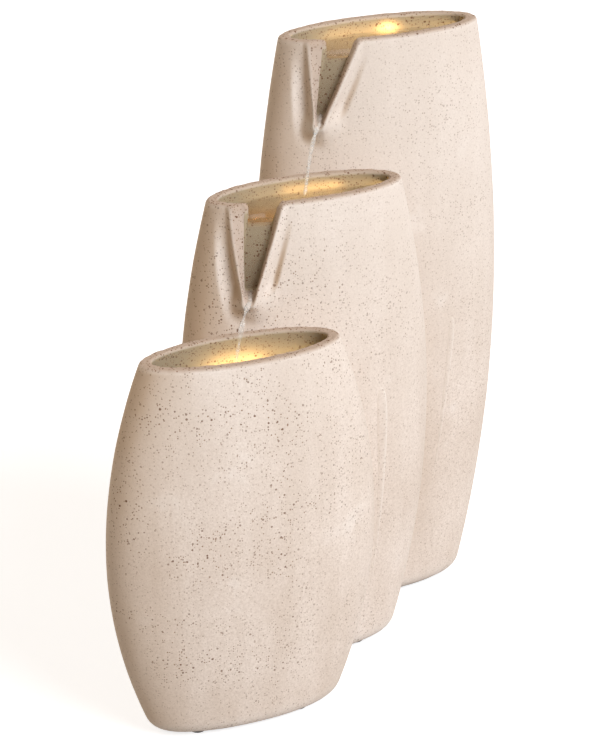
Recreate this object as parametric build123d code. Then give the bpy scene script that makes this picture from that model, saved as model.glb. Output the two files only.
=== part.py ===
from build123d import *

import os
from dataclasses import dataclass
from math import cos, radians, sin, sqrt

# Three-tier cascade fountain, in millimetres. Three flattened cast barrels of
# different height stand in a diagonal row and are joined by cast webs. A pump
# in the low front barrel lifts water to the tall back one, and the water runs
# back down through a V spout in each of the two higher rims.
# Origin: the middle of the footprint on the table. +X runs along the barrels'
# long axis, +Y to the back, +Z up.

# The castings.
FOOT = 2.0                  # rubber pads under the castings
PAD, PAD_X, PAD_Y = 6.0, 40.0, 7.0
ASPECT = 0.38               # depth of a barrel over its length
WALL = 9.5
BASE_ROUND = 12.0           # rounding of the bottom edge
RIM_ROUND = 3.0             # rounding of the rim's two edges
FLOOR = 16.0                # floor of the front barrel
TRAY = 8.0                  # floor of an upper basin, and a bottom plate
BASIN_DEPTH = 22.0          # water under the drip edge of the spout
FRONT_STEP = (80.4, 72.0)   # front barrel to middle barrel, from above
REAR_STEP = (90.6, 70.2)    # middle barrel to tall barrel


@dataclass
class Vessel:
    """One barrel: half lengths along X at rim, belly and base, and its spout."""
    name: str
    height: float
    rim: float
    belly: float
    base: float
    spout_drop: float = 0.0
    spout_top: float = 0.0
    spout_foot: float = 0.0
    weir_drop: float = 0.0
    x: float = 0.0
    y: float = 0.0


FRONT = Vessel("front", 293.0, 74.0, 102.5, 71.5)
MIDDLE = Vessel("middle", 376.0, 75.0, 99.5, 71.8, 69.0, -20.5, -24.0, 20.0)
TALL = Vessel("tall", 466.0, 79.5, 101.5, 74.1, 61.0, -17.6, -27.0, 20.0)

ROW_X = FRONT_STEP[0] + REAR_STEP[0]
ROW_Y = FRONT_STEP[1] + REAR_STEP[1]
FRONT.x = (FRONT.belly - TALL.belly - ROW_X) / 2
FRONT.y = (ASPECT * (FRONT.belly - TALL.belly) - ROW_Y) / 2
MIDDLE.x, MIDDLE.y = FRONT.x + FRONT_STEP[0], FRONT.y + FRONT_STEP[1]
TALL.x, TALL.y = MIDDLE.x + REAR_STEP[0], MIDDLE.y + REAR_STEP[1]

# The spouts, which aim left of the front, at the next barrel down.
SPOUT_AIM = 40.0
NOTCH_HALF_TOP = 15.0       # half width at the rim, in the wall
NOTCH_HALF_FOOT = 2.6
NOTCH_FLARE = 0.62          # widening of the notch per millimetre outwards
NOTCH_FALL = 0.25           # fall of its foot per millimetre outwards
NOTCH_IN, NOTCH_WALL, NOTCH_OUT = 30.0, 48.0, 80.0  # from the barrel's axis
OVER_RIM = 12.0
GROOVE = 4.75               # depth in the wall of the chute under the weir
WEIR_TOP, WEIR_FOOT = (13.8, 12.4), (11.0, 10.0)  # to the left and right of spout_top
LIP_LEFT, LIP_RIGHT = 23.0, 17.0
LIP_FOOT = 8.5
LIP_RAISE = 5.0             # stand-off of the lips at the rim
BEAK_RAISE = 18.0           # and at the drip edge
CHIN = 15.0                 # height of the chin under the drip edge
CHIN_TAPER, CHIN_TUCK = 3.0, 2.0
LIP_BACK, LIP_BAND = 20.0, 70.0
SKIN = 1.0                  # overlap of shapes that make one piece
OVER = 5.0                  # over-run of the shapes that cut

# The webs, as fractions of each barrel's half length and half depth.
WEB_REACH, WEB_GRIP = 0.94, 0.48
WEB_REACH_SIDE, WEB_GRIP_SIDE = 0.15, 0.5
FRONT_WEB_TOP, REAR_WEB_TOP = 228.0, 242.0
WEB_BOTTOM = FOOT + 6.0
WEB_HOLLOW = 9.0            # hollow of a web's two open ends
WEB_ROUND = 12.0            # rounding over their tops

# Tie bolts through each web.
BOLT, BOLT_HOLE = 6.0, 6.6
SEAT = 13.2                 # from the middle of the web to the washer
WASHER = 1.4
SEAL_RADIUS, WASHER_RADIUS = 8.0, 7.0
SEAL_DEEP = 5.0             # cut to the wall's curve on the far side
HEAD, NUT_FLAT, NUT_DOME = 5.0, 10.0, 4.5
TIE_REACH = 30.0
FRONT_TIES, REAR_TIES = (106.0, 202.0), (118.0, 220.0)

# The pump stands on the front barrel's floor, with its intake towards +X.
PUMP_FRONT = FRONT.x + 30.0
PUMP_LONG, PUMP_WIDE, PUMP_HIGH = 36.0, 31.0, 34.0
CUP = 6.0                   # suction cups under the pump
PUMP_BASE = FOOT + FLOOR + CUP
PUMP_AXIS = PUMP_BASE + PUMP_HIGH / 2
PUMP_ROUND, PUMP_EDGE = 5.0, 2.0
CUP_STEM, CUP_LIP, CUP_RIM = 2.5, 4.0, 6.0
CUP_WAIST, CUP_HOLLOW = 3.0, 0.8
CUP_X, CUP_Y = 10.0, 8.0
CHAMBER, CHAMBER_DEEP = 13.0, 8.0
WELL, WELL_DEEP = 7.5, 32.0
BUSH_DEEP = 2.5             # seat of each bush
ROTOR, HUB = 6.5, 4.0
ROTOR_GAP = 1.5             # behind the rotor, in the well
IMPELLER, IMPELLER_BACK, IMPELLER_FACE = 11.0, -7.5, -6.0
BLADES, BLADE_AT = 6, 6.6
BLADE_LONG, BLADE_THICK, BLADE_HIGH = 8.0, 1.4, 3.5
SHAFT, BUSH = 1.25, 3.0
REAR_BUSH_PROUD, FRONT_BUSH_PROUD = 0.8, 1.5
RUN = 0.05                  # running clearance on a radius
INLETS, INLET, INLET_RING = 6, 2.2, 8.0
COVER, COVER_THICK = 14.0, 4.0
COVER_SPIGOT, COVER_SPIGOT_BORE, COVER_SPIGOT_LONG = 12.6, 11.4, 1.8
PIN, PIN_HEAD, PIN_END = 2.0, 3.0, 9.2
DIAL, DIAL_THICK, DIAL_GAP = 11.5, 3.0, 0.3
PIN_HEAD_AT = COVER_THICK + DIAL_THICK + 0.8
GRIPS, GRIP, GRIP_RING = 12, 1.5, 12.1

# The riser hose, from the pump to the tall basin.
HOSE, HOSE_BORE, WATERWAY = 5.0, 3.5, 2.4
HOSE_BEND = 18.0
HOSE_LEVEL = 156.0
HOSE_X = PUMP_FRONT - CHAMBER_DEEP / 2
COLLAR, COLLAR_HIGH, SPIGOT = 6.5, 2.0, 16.0
SLEEVE, SLEEVE_PROUD = 7.0, 4.0
REAR_CROSSING = MIDDLE.x + 36.0
OUTLET_X = TALL.x + 44.0
OUTLET, OUTLET_FLANGE, OUTLET_FLANGE_HIGH = 6.0, 9.5, 2.5
OUTLET_GASKET, OUTLET_GASKET_HIGH = 9.0, 1.5
OUTLET_NOZZLE, OUTLET_TOP = 5.0, 14.0
OUTLET_THREAD = 7.0         # below the basin's floor
OUTLET_TAIL, HOSE_UNDER = 22.0, 8.0
BACK_NUT, BACK_NUT_HIGH = 9.0, 5.0

# The lamps, one in each barrel.
LAMP, LAMP_HIGH, LAMP_WALL = 15.0, 12.0, 2.0
LAMP_FLOOR = 4.0            # of the housing, under the board
BOARD, CHIP, CHIP_RING, CHIPS = 1.6, 4.0, 5.5, 3
CHIP_SINK = 0.2
LAMP_SEAL, LAMP_SEAL_HIGH = 2.0, 2.4
LENS_EDGE, LENS_CROWN = 2.5, 6.0
LENS_SHOULDER, LENS_SHOULDER_HIGH = 0.7, 5.6
STEM, STEM_LONG, FRONT_STEM_LONG = 4.0, 16.0, 3.0
LAMP_NUT, LAMP_NUT_HIGH = 7.5, 4.0
FOOT_RIM, FOOT_LIP, FOOT_NECK, FOOT_HOLLOW = 13.0, 9.0, 7.0, 1.0
LAMP_X = {"front": -36.0, "middle": 8.0, "tall": 4.0}


def centre_line(v):
    """Mid height of the barrel and half its height."""
    return (v.height + FOOT) / 2, (v.height - FOOT) / 2


def half_length(v, z):
    """Outer half length of the barrel at height z; the wall is a parabola."""
    mid, reach = centre_line(v)
    end = v.rim if z > mid else v.base
    return v.belly - (v.belly - end) * ((z - mid) / reach) ** 2


def inner_aspect(v):
    return (v.belly * ASPECT - WALL) / (v.belly - WALL)


def inner_half_depth(v, x, z):
    """Inner half depth of the barrel at its own x and height z."""
    long = half_length(v, z) - WALL
    return inner_aspect(v) * sqrt(long ** 2 - x ** 2)


def wall_curve(v, low, high, inset=0.0):
    """The parabola of the wall between two heights in the same half."""
    mid, reach = centre_line(v)
    end = v.rim if high > mid else v.base
    bow = (v.belly - end) / reach ** 2
    knee = v.belly - bow * (low - mid) * (high - mid) - inset
    return Bezier(
        (half_length(v, low) - inset, low),
        (knee, (low + high) / 2),
        (half_length(v, high) - inset, high),
    )


def barrel(v, profile, aspect):
    """Turn a half profile about the barrel's axis and flatten it in depth."""
    face = Plane.XZ * make_face(profile)
    return Pos(v.x, v.y, 0) * scale(revolve(face, Axis.Z), by=(1, aspect, 1))


def outer_barrel(v):
    mid, _ = centre_line(v)
    low, high = FOOT + BASE_ROUND, v.height - RIM_ROUND
    corner = 2 * half_length(v, low) - half_length(v, low + BASE_ROUND)
    profile = [
        Line((0, FOOT), (corner - BASE_ROUND, FOOT)),
        Bezier((corner - BASE_ROUND, FOOT), (corner, FOOT), (half_length(v, low), low)),
        wall_curve(v, low, mid),
        wall_curve(v, mid, high),
        Bezier((half_length(v, high), high), (v.rim, v.height), (v.rim - RIM_ROUND, v.height)),
        Line((v.rim - RIM_ROUND, v.height), (0, v.height)),
        Line((0, v.height), (0, FOOT)),
    ]
    return barrel(v, profile, ASPECT)


def cavity(v, floor):
    """The inside of a barrel from floor up, flaring a little at the rim."""
    mid, _ = centre_line(v)
    high, over = v.height - RIM_ROUND, v.height + OVER
    neck = v.rim - WALL
    profile = [
        Line((0, floor), (half_length(v, floor) - WALL, floor)),
        wall_curve(v, floor, mid, WALL),
        wall_curve(v, mid, high, WALL),
        Bezier((half_length(v, high) - WALL, high), (neck, v.height), (neck + RIM_ROUND, v.height)),
        Polyline((neck + RIM_ROUND, v.height), (neck + RIM_ROUND, over), (0, over), (0, floor)),
    ]
    return barrel(v, profile, inner_aspect(v))


def spout_plane(v, out=0.0):
    """Seen from outside along the spout: x to the right, y up from the rim."""
    aim = radians(SPOUT_AIM)
    away = Vector(-sin(aim), -cos(aim), 0)
    across = Vector(cos(aim), -sin(aim), 0)
    return Plane(Vector(v.x, v.y, v.height) + away * out, x_dir=across, z_dir=away)


def v_cut(v):
    """The V of a spout, wider outside than inside and falling outwards."""
    faces = []
    for out in (NOTCH_IN, NOTCH_OUT):
        spread = NOTCH_FLARE * (out - NOTCH_WALL)
        top = NOTCH_HALF_TOP + spread
        foot = top * NOTCH_HALF_FOOT / NOTCH_HALF_TOP
        drop = v.spout_drop + NOTCH_FALL * (out - NOTCH_WALL)
        outline = Polyline(
            (v.spout_top - top, OVER_RIM),
            (v.spout_top - top, 0),
            (v.spout_foot - foot, -drop),
            (v.spout_foot + foot, -drop),
            (v.spout_top + top, 0),
            (v.spout_top + top, OVER_RIM),
            close=True,
        )
        faces.append(spout_plane(v, out) * make_face(outline))
    return loft(faces, ruled=True)


def chute_back(v):
    """The inner part of the wall, which stays behind a spout's chute."""
    mid, _ = centre_line(v)
    high = v.height + OVER_RIM
    end = v.rim - GROOVE
    profile = [
        Line((0, mid), (v.belly - GROOVE, mid)),
        wall_curve(v, mid, v.height, GROOVE),
        Polyline((end, v.height), (end, high), (0, high), (0, mid)),
    ]
    return barrel(v, profile, (v.belly * ASPECT - GROOVE) / (v.belly - GROOVE))


def weir(v):
    """Slot through the top of the wall, over which the basin runs into the chute."""
    outline = Polyline(
        (v.spout_top - WEIR_TOP[0], OVER_RIM),
        (v.spout_top - WEIR_TOP[0], 0),
        (v.spout_top - WEIR_FOOT[0], -v.weir_drop),
        (v.spout_top + WEIR_FOOT[1], -v.weir_drop),
        (v.spout_top + WEIR_TOP[1], 0),
        (v.spout_top + WEIR_TOP[1], OVER_RIM),
        close=True,
    )
    return extrude(spout_plane(v, NOTCH_IN) * make_face(outline), NOTCH_OUT - NOTCH_IN)


def spout_lips(v):
    """Raised lips on both sides of the notch, running down to a drip edge."""
    drip = v.height - v.spout_drop
    chin = drip - CHIN
    root = half_length(v, chin) - WALL / 2
    skirt = [
        Line((v.rim - WALL / 2, v.height), (v.rim + LIP_RAISE, v.height)),
        Line((v.rim + LIP_RAISE, v.height), (half_length(v, drip) + BEAK_RAISE, drip)),
        Bezier(
            (half_length(v, drip) + BEAK_RAISE, drip),
            (half_length(v, drip) + BEAK_RAISE - CHIN_TUCK, drip - CHIN / 2),
            (half_length(v, chin) - SKIN, chin),
        ),
        Polyline((half_length(v, chin) - SKIN, chin), (root, chin), (v.rim - WALL / 2, v.height)),
    ]
    outline = Polyline(
        (v.spout_top - LIP_LEFT, SKIN),
        (v.spout_foot - LIP_FOOT, -v.spout_drop),
        (v.spout_foot - LIP_FOOT + CHIN_TAPER, -v.spout_drop - CHIN - SKIN),
        (v.spout_foot + LIP_FOOT - CHIN_TAPER, -v.spout_drop - CHIN - SKIN),
        (v.spout_foot + LIP_FOOT, -v.spout_drop),
        (v.spout_top + LIP_RIGHT, SKIN),
        close=True,
    )
    band = extrude(spout_plane(v, LIP_BACK) * make_face(outline), LIP_BAND)
    return barrel(v, skirt, ASPECT) & band


def post(x, y, z, radius, height):
    """Upright cylinder standing on z."""
    return Pos(x, y, z) * Cylinder(radius, height, align=(Align.CENTER, Align.CENTER, Align.MIN))


def rod_y(x, z, radius, start, end):
    """Cylinder along Y between two y positions."""
    plane = Plane((x, start, z), x_dir=(1, 0, 0), z_dir=(0, 1, 0))
    return extrude(plane * Circle(radius), end - start)


def pump_plane(start):
    """Across the pump's axis; start counts from its front face, z_dir outwards."""
    return Plane((PUMP_FRONT + start, FRONT.y, PUMP_AXIS), x_dir=(0, 1, 0), z_dir=(1, 0, 0))


def pump_rod(radius, start, end):
    """Cylinder on the pump's axis."""
    return extrude(pump_plane(start) * Circle(radius), end - start)


def pump_ring(outer, inner, start, end):
    return pump_rod(outer, start, end) - pump_rod(inner, start - OVER, end + OVER)


def tie_plane(first, second, z):
    """Where two neighbouring barrels come closest; z_dir runs to the back one."""
    across = Vector(second.x - first.x, (second.y - first.y) / ASPECT, 0).normalized()
    near = Vector(across.X, across.Y * ASPECT, 0) * half_length(first, z)
    far = Vector(across.X, across.Y * ASPECT, 0) * half_length(second, z)
    front = Vector(first.x, first.y, z) + near
    back = Vector(second.x, second.y, z) - far
    return Plane((front + back) / 2, x_dir=(0, 0, 1), z_dir=(across.X, across.Y / ASPECT, 0))


def tie_rod(plane, shape, start, end):
    return extrude(plane.offset(start) * shape, end - start)


def web_section(first, second, z):
    """Plan of a web at height z: it lies along both walls and its ends are hollow."""
    a, b = half_length(first, z), half_length(second, z)
    corners = [
        Vector(first.x - WEB_GRIP * a, first.y + WEB_GRIP_SIDE * ASPECT * a),
        Vector(first.x + WEB_REACH * a, first.y + WEB_REACH_SIDE * ASPECT * a),
        Vector(second.x + WEB_GRIP * b, second.y - WEB_GRIP_SIDE * ASPECT * b),
        Vector(second.x - WEB_REACH * b, second.y - WEB_REACH_SIDE * ASPECT * b),
    ]
    centre = sum(corners, Vector()) / 4
    edges = []
    for index, start in enumerate(corners):
        end = corners[(index + 1) % 4]
        if index % 2 == 0:
            edges.append(Line(start, end))
        else:
            middle = (start + end) / 2
            hollow = middle + (centre - middle).normalized() * WEB_HOLLOW
            edges.append(ThreePointArc(start, hollow, end))
    return Pos(0, 0, z) * make_face(edges)


def web(first, second, top):
    """Cast web in the gap between two barrels, following both walls."""
    mid, _ = centre_line(first)
    levels = (WEB_BOTTOM, (WEB_BOTTOM + mid) / 2, mid, top)
    block = loft([web_section(first, second, z) for z in levels])
    ends = block.faces().sort_by(Axis.Z)[-1].edges().filter_by(GeomType.LINE, reverse=True)
    block = fillet(ends, WEB_ROUND)
    return block - outer_barrel(first) - outer_barrel(second)


def tie_set(first, second, levels):
    """Bolts, conforming seals, washers and cap nuts of one web."""
    front_room, back_room = cavity(first, FOOT + FLOOR), cavity(second, FOOT)
    bolts, seals, washers, nuts = [], [], [], []
    for z in levels:
        plane = tie_plane(first, second, z)
        head = tie_rod(plane, RegularPolygon(NUT_FLAT / 2, 6, major_radius=False),
                       -SEAT - WASHER - HEAD, -SEAT - WASHER)
        shank = tie_rod(plane, Circle(BOLT / 2), -SEAT - WASHER - SKIN, SEAT + WASHER + HEAD)
        bolts.append(head + shank)
        cap = tie_rod(plane, RegularPolygon(NUT_FLAT / 2, 6, major_radius=False),
                      SEAT + WASHER, SEAT + WASHER + HEAD)
        dome = plane.offset(SEAT + WASHER + HEAD) * Sphere(NUT_DOME)
        nuts.append(cap + dome - shank)
        gasket = Circle(SEAL_RADIUS) - Circle(BOLT_HOLE / 2)
        plate = Circle(WASHER_RADIUS) - Circle(BOLT / 2)
        for side, room in ((-1, front_room), (1, back_room)):
            inner = min(side * SEAT, side * (SEAT - SEAL_DEEP))
            seals.append(tie_rod(plane, gasket, inner, inner + SEAL_DEEP) & room)
            face = min(side * SEAT, side * (SEAT + WASHER))
            washers.append(tie_rod(plane, plate, face, face + WASHER))
    return bolts, seals, washers, nuts


def tie_holes(first, second, levels):
    hole = Circle(BOLT_HOLE / 2)
    return [tie_rod(tie_plane(first, second, z), hole, -TIE_REACH, TIE_REACH) for z in levels]


def hose_path():
    """Up from the pump, back through both webs, and up under the tall basin."""
    points = [
        (HOSE_X, FRONT.y, PUMP_BASE + PUMP_HIGH + COLLAR_HIGH),
        (HOSE_X, FRONT.y, HOSE_LEVEL),
        (HOSE_X, MIDDLE.y, HOSE_LEVEL),
        (REAR_CROSSING, MIDDLE.y, HOSE_LEVEL),
        (REAR_CROSSING, TALL.y, HOSE_LEVEL),
        (OUTLET_X, TALL.y, HOSE_LEVEL),
        (OUTLET_X, TALL.y, tray_top(TALL) - TRAY - HOSE_UNDER),
    ]
    return FilletPolyline(*points, radius=HOSE_BEND)


def tray_top(v):
    """Top of an upper basin's floor."""
    return v.height - v.spout_drop - BASIN_DEPTH


def sleeve_ends(first, second, x):
    """Inner faces of two neighbouring walls where the hose crosses at x."""
    front = first.y + inner_half_depth(first, x - first.x, HOSE_LEVEL)
    back = second.y - inner_half_depth(second, x - second.x, HOSE_LEVEL)
    return front, back


def sleeve(first, second, x):
    front, back = sleeve_ends(first, second, x)
    body = rod_y(x, HOSE_LEVEL, SLEEVE, front - SLEEVE_PROUD, back + SLEEVE_PROUD)
    return body - rod_y(x, HOSE_LEVEL, HOSE, front - SLEEVE_PROUD - OVER, back + SLEEVE_PROUD + OVER)


def sleeve_hole(first, second, x):
    front, back = sleeve_ends(first, second, x)
    return rod_y(x, HOSE_LEVEL, SLEEVE, front - OVER, back + OVER)


FRONT_HOLES = tie_holes(FRONT, MIDDLE, FRONT_TIES) + [sleeve_hole(FRONT, MIDDLE, HOSE_X)]
REAR_HOLES = tie_holes(MIDDLE, TALL, REAR_TIES) + [sleeve_hole(MIDDLE, TALL, REAR_CROSSING)]

# The supply cord enters low in the tall barrel's back.
GLAND_X, GLAND_Z, GLAND, CORD_HOLE = TALL.x + 30.0, 40.0, 6.0, 3.2
GLAND_IN = TALL.y + inner_half_depth(TALL, GLAND_X - TALL.x, GLAND_Z)
GLAND_SHOULDER, GLAND_PROUD = 8.5, 4.0
GLAND_NECK, GLAND_NECK_LONG = 5.0, 3.0
GLAND_THREAD = 9.0          # of thread, inside the wall
GLAND_NUT, GLAND_NUT_HIGH = 9.0, 4.0
GLAND_SEAL, GLAND_SEAL_DEEP = 8.0, 3.5


def front_vessel():
    body = outer_barrel(FRONT) - cavity(FRONT, FOOT + FLOOR)
    return body - FRONT_HOLES


def spout_barrel(v):
    """Open barrel with a spout: lips drawn out of the wall, a chute between them, a weir."""
    body = outer_barrel(v) + spout_lips(v) - cavity(v, FOOT)
    return body - (v_cut(v) - chute_back(v)) - weir(v)


def middle_vessel():
    return spout_barrel(MIDDLE) - FRONT_HOLES - REAR_HOLES


def tall_vessel():
    gland_hole = rod_y(GLAND_X, GLAND_Z, GLAND, TALL.y, TALL.y + TALL.belly)
    return spout_barrel(TALL) - REAR_HOLES - gland_hole


def slab(v, low, thick):
    """Plate that fills a barrel's inside from wall to wall."""
    return cavity(v, FOOT) & post(v.x, v.y, low, v.belly, thick)


def basin(v):
    """Floor of an upper basin, with a hole for its lamp's stem."""
    low = tray_top(v) - TRAY
    plate = slab(v, low, TRAY) - post(v.x + LAMP_X[v.name], v.y, low - OVER, STEM, TRAY + 2 * OVER)
    if v is TALL:
        plate -= post(OUTLET_X, v.y, low - OVER, OUTLET, TRAY + 2 * OVER)
    return plate


def feet(v):
    spots = GridLocations(2 * PAD_X, 2 * PAD_Y, 2, 2)
    return [Pos(v.x, v.y, 0) * spot * post(0, 0, 0, PAD, FOOT) for spot in spots]


def pump_body():
    middle = (PUMP_FRONT - PUMP_LONG / 2, FRONT.y, PUMP_AXIS)
    block = Box(PUMP_LONG, PUMP_WIDE, PUMP_HIGH)
    block = fillet(block.edges().filter_by(Axis.X), PUMP_ROUND)
    block = fillet(block.faces().sort_by(Axis.X)[0].edges(), PUMP_EDGE)
    body = Pos(*middle) * block
    top = PUMP_BASE + PUMP_HIGH
    body += post(HOSE_X, FRONT.y, top - SKIN, COLLAR, COLLAR_HIGH + SKIN)
    body += post(HOSE_X, FRONT.y, top - SKIN, HOSE_BORE, SPIGOT + SKIN)
    body -= pump_rod(CHAMBER, -CHAMBER_DEEP, OVER)
    body -= pump_rod(WELL, -WELL_DEEP, 0)
    body -= pump_rod(BUSH, -WELL_DEEP - BUSH_DEEP, 0)
    return body - post(HOSE_X, FRONT.y, PUMP_AXIS + WELL, WATERWAY, PUMP_HIGH)


def pump_rotor():
    rotor = pump_rod(ROTOR, -WELL_DEEP + ROTOR_GAP, -CHAMBER_DEEP - SKIN)
    rotor += pump_rod(HUB, -CHAMBER_DEEP - SKIN, IMPELLER_FACE + BLADE_HIGH)
    rotor += pump_rod(IMPELLER, IMPELLER_BACK, IMPELLER_FACE)
    for index in range(BLADES):
        blade = Rot(0, 0, index * 360 / BLADES) * Pos(BLADE_AT, 0) * Rectangle(BLADE_LONG, BLADE_THICK)
        rotor += extrude(pump_plane(IMPELLER_FACE) * blade, BLADE_HIGH)
    return rotor - pump_rod(SHAFT + RUN, -WELL_DEEP, 0)


def inlet_cuts(start, end):
    ring = Sketch() + PolarLocations(INLET_RING, INLETS) * Circle(INLET)
    return extrude(pump_plane(start) * ring, end - start)


def pump_cover():
    """Front cover with the intake holes, the front bush's seat and the dial's pin."""
    cover = pump_rod(COVER, 0, COVER_THICK)
    cover += pump_ring(COVER_SPIGOT, COVER_SPIGOT_BORE, -COVER_SPIGOT_LONG, SKIN)
    cover += pump_rod(PIN, COVER_THICK - SKIN, PIN_END)
    cover += pump_rod(PIN_HEAD, PIN_HEAD_AT, PIN_END)
    cover -= inlet_cuts(-OVER, COVER_THICK + OVER)
    return cover - pump_rod(BUSH, -OVER, BUSH_DEEP)


def flow_dial():
    """Dial with the same holes, which it turns off the cover's to close them."""
    low = COVER_THICK + DIAL_GAP
    high = low + DIAL_THICK
    dial = pump_ring(DIAL, PIN + RUN, low, high)
    dial -= inlet_cuts(low - OVER, high + OVER)
    grips = Sketch() + PolarLocations(GRIP_RING, GRIPS) * Circle(GRIP)
    return dial - extrude(pump_plane(low - OVER) * grips, DIAL_THICK + 2 * OVER)


def suction_cup():
    """Cup from the floor up to its stem's top, hollow underneath."""
    profile = Polyline(
        (0, CUP_HOLLOW), (CUP_LIP, 0), (CUP_RIM, 0), (CUP_STEM, CUP_WAIST), (CUP_STEM, CUP), (0, CUP),
        close=True,
    )
    return revolve(Plane.XZ * make_face(profile), Axis.Z)


def pump_cups():
    middle = Pos(PUMP_FRONT - PUMP_LONG / 2, FRONT.y, FOOT + FLOOR)
    return [middle * spot * suction_cup() for spot in GridLocations(2 * CUP_X, 2 * CUP_Y, 2, 2)]


def riser_hose():
    path = hose_path()
    end = Plane(path @ 0, z_dir=path % 0)
    return sweep(end * (Circle(HOSE) - Circle(HOSE_BORE)), path)


def outlet_post(start, radius, end):
    """Upright cylinder on the outlet's axis, between two heights."""
    return post(OUTLET_X, TALL.y, start, radius, end - start)


def outlet_pieces():
    """Bulkhead outlet in the tall basin's floor: fitting, gasket and back nut."""
    top = tray_top(TALL)
    low = top - TRAY
    seat = top + OUTLET_GASKET_HIGH
    fitting = outlet_post(low - OUTLET_TAIL, HOSE_BORE, low)
    fitting += outlet_post(low - OUTLET_THREAD, OUTLET, seat + SKIN)
    fitting += outlet_post(seat, OUTLET_FLANGE, seat + OUTLET_FLANGE_HIGH)
    fitting += outlet_post(seat, OUTLET_NOZZLE, top + OUTLET_TOP)
    fitting -= outlet_post(low - OUTLET_TAIL - OVER, WATERWAY, top + OUTLET_TOP + OVER)
    gasket = outlet_post(top, OUTLET_GASKET, seat) - outlet_post(low, OUTLET, seat + OVER)
    nut = Pos(OUTLET_X, TALL.y, low - BACK_NUT_HIGH) * extrude(RegularPolygon(BACK_NUT, 6), BACK_NUT_HIGH)
    return fitting, gasket, nut - outlet_post(low - BACK_NUT_HIGH - OVER, OUTLET, low + OVER)


def lamp_seat(v):
    """Height on which a lamp's housing stands."""
    return FOOT + FLOOR + CUP if v is FRONT else tray_top(v)


def lamp_board(x, y, z):
    """Round circuit board with its light chips."""
    board = post(x, y, z, LAMP - LAMP_WALL, BOARD)
    chip = Box(CHIP, CHIP, BOARD, align=(Align.CENTER, Align.CENTER, Align.MIN))
    for spot in PolarLocations(CHIP_RING, CHIPS):
        board += Pos(x, y, z + BOARD - CHIP_SINK) * spot * chip
    return board


def lamp_lens(x, y, z):
    """Domed lens, with a straight edge where it sits in the housing."""
    room = LAMP - LAMP_WALL
    crown = Bezier((room, LENS_EDGE), (room * LENS_SHOULDER, LENS_SHOULDER_HIGH), (0, LENS_CROWN))
    edge = Polyline((0, LENS_CROWN), (0, 0), (room, 0), (room, LENS_EDGE))
    return Pos(x, y, z) * revolve(Plane.XZ * make_face([crown, edge]), Axis.Z)


def suction_foot():
    """Broad suction cup with a socket for the front lamp's stem."""
    socket = CUP - FRONT_STEM_LONG
    profile = Polyline(
        (0, FOOT_HOLLOW), (FOOT_LIP, 0), (FOOT_RIM, 0), (FOOT_NECK, CUP),
        (STEM, CUP), (STEM, socket), (0, socket),
        close=True,
    )
    return revolve(Plane.XZ * make_face(profile), Axis.Z)


def lamp_pieces(v):
    """Housing with a stem, light board, seal, domed lens, and what holds it down."""
    x, y, z = v.x + LAMP_X[v.name], v.y, lamp_seat(v)
    room = LAMP - LAMP_WALL
    board = z + LAMP_FLOOR
    seal = board + BOARD
    stem = FRONT_STEM_LONG if v is FRONT else STEM_LONG
    if v is FRONT:
        hold = Pos(x, y, z - CUP) * suction_foot()
    else:
        nut = z - TRAY - LAMP_NUT_HIGH
        hold = Pos(x, y, nut) * extrude(RegularPolygon(LAMP_NUT, 6), LAMP_NUT_HIGH)
        hold -= post(x, y, nut - OVER, STEM, LAMP_NUT_HIGH + 2 * OVER)
    return {
        "body": post(x, y, z, LAMP, LAMP_HIGH) - post(x, y, board, room, LAMP_HIGH)
        + post(x, y, z - stem, STEM, stem + SKIN),
        "board": lamp_board(x, y, board),
        "seal": post(x, y, seal, room, LAMP_SEAL_HIGH)
        - post(x, y, seal - OVER, room - LAMP_SEAL, LAMP_SEAL_HIGH + 2 * OVER),
        "lens": lamp_lens(x, y, seal + LAMP_SEAL_HIGH),
        "hold": hold,
    }


def gland_rod(radius, start, end):
    return rod_y(GLAND_X, GLAND_Z, radius, start, end)


def gland_pieces():
    """Cord gland through the tall barrel's back wall, its nut and its seal inside."""
    outside = TALL.y + ASPECT * sqrt(half_length(TALL, GLAND_Z) ** 2 - (GLAND_X - TALL.x) ** 2)
    end = outside + GLAND_PROUD
    body = gland_rod(GLAND, GLAND_IN - GLAND_THREAD, end)
    body += gland_rod(GLAND_SHOULDER, outside - GLAND_PROUD, end) - outer_barrel(TALL)
    body += gland_rod(GLAND_NECK, end - SKIN, end + GLAND_NECK_LONG)
    body -= gland_rod(CORD_HOLE, GLAND_IN - GLAND_THREAD - OVER, end + GLAND_NECK_LONG + OVER)
    thread = gland_rod(GLAND, GLAND_IN - GLAND_THREAD, outside)
    seal = gland_rod(GLAND_SEAL, GLAND_IN - GLAND_SEAL_DEEP, GLAND_IN + OVER) & cavity(TALL, FOOT)
    back = GLAND_IN - GLAND_SEAL_DEEP - GLAND_NUT_HIGH
    face = Plane((GLAND_X, back, GLAND_Z), x_dir=(1, 0, 0), z_dir=(0, 1, 0))
    nut = extrude(face * RegularPolygon(GLAND_NUT, 6), GLAND_NUT_HIGH)
    return {"cord_gland": body, "gland_nut": nut - thread, "gland_seal": seal - thread}


def group(solids):
    """Separate solids of one kind in a single node."""
    return Compound(children=[solid for item in solids for solid in item.solids()])


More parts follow.
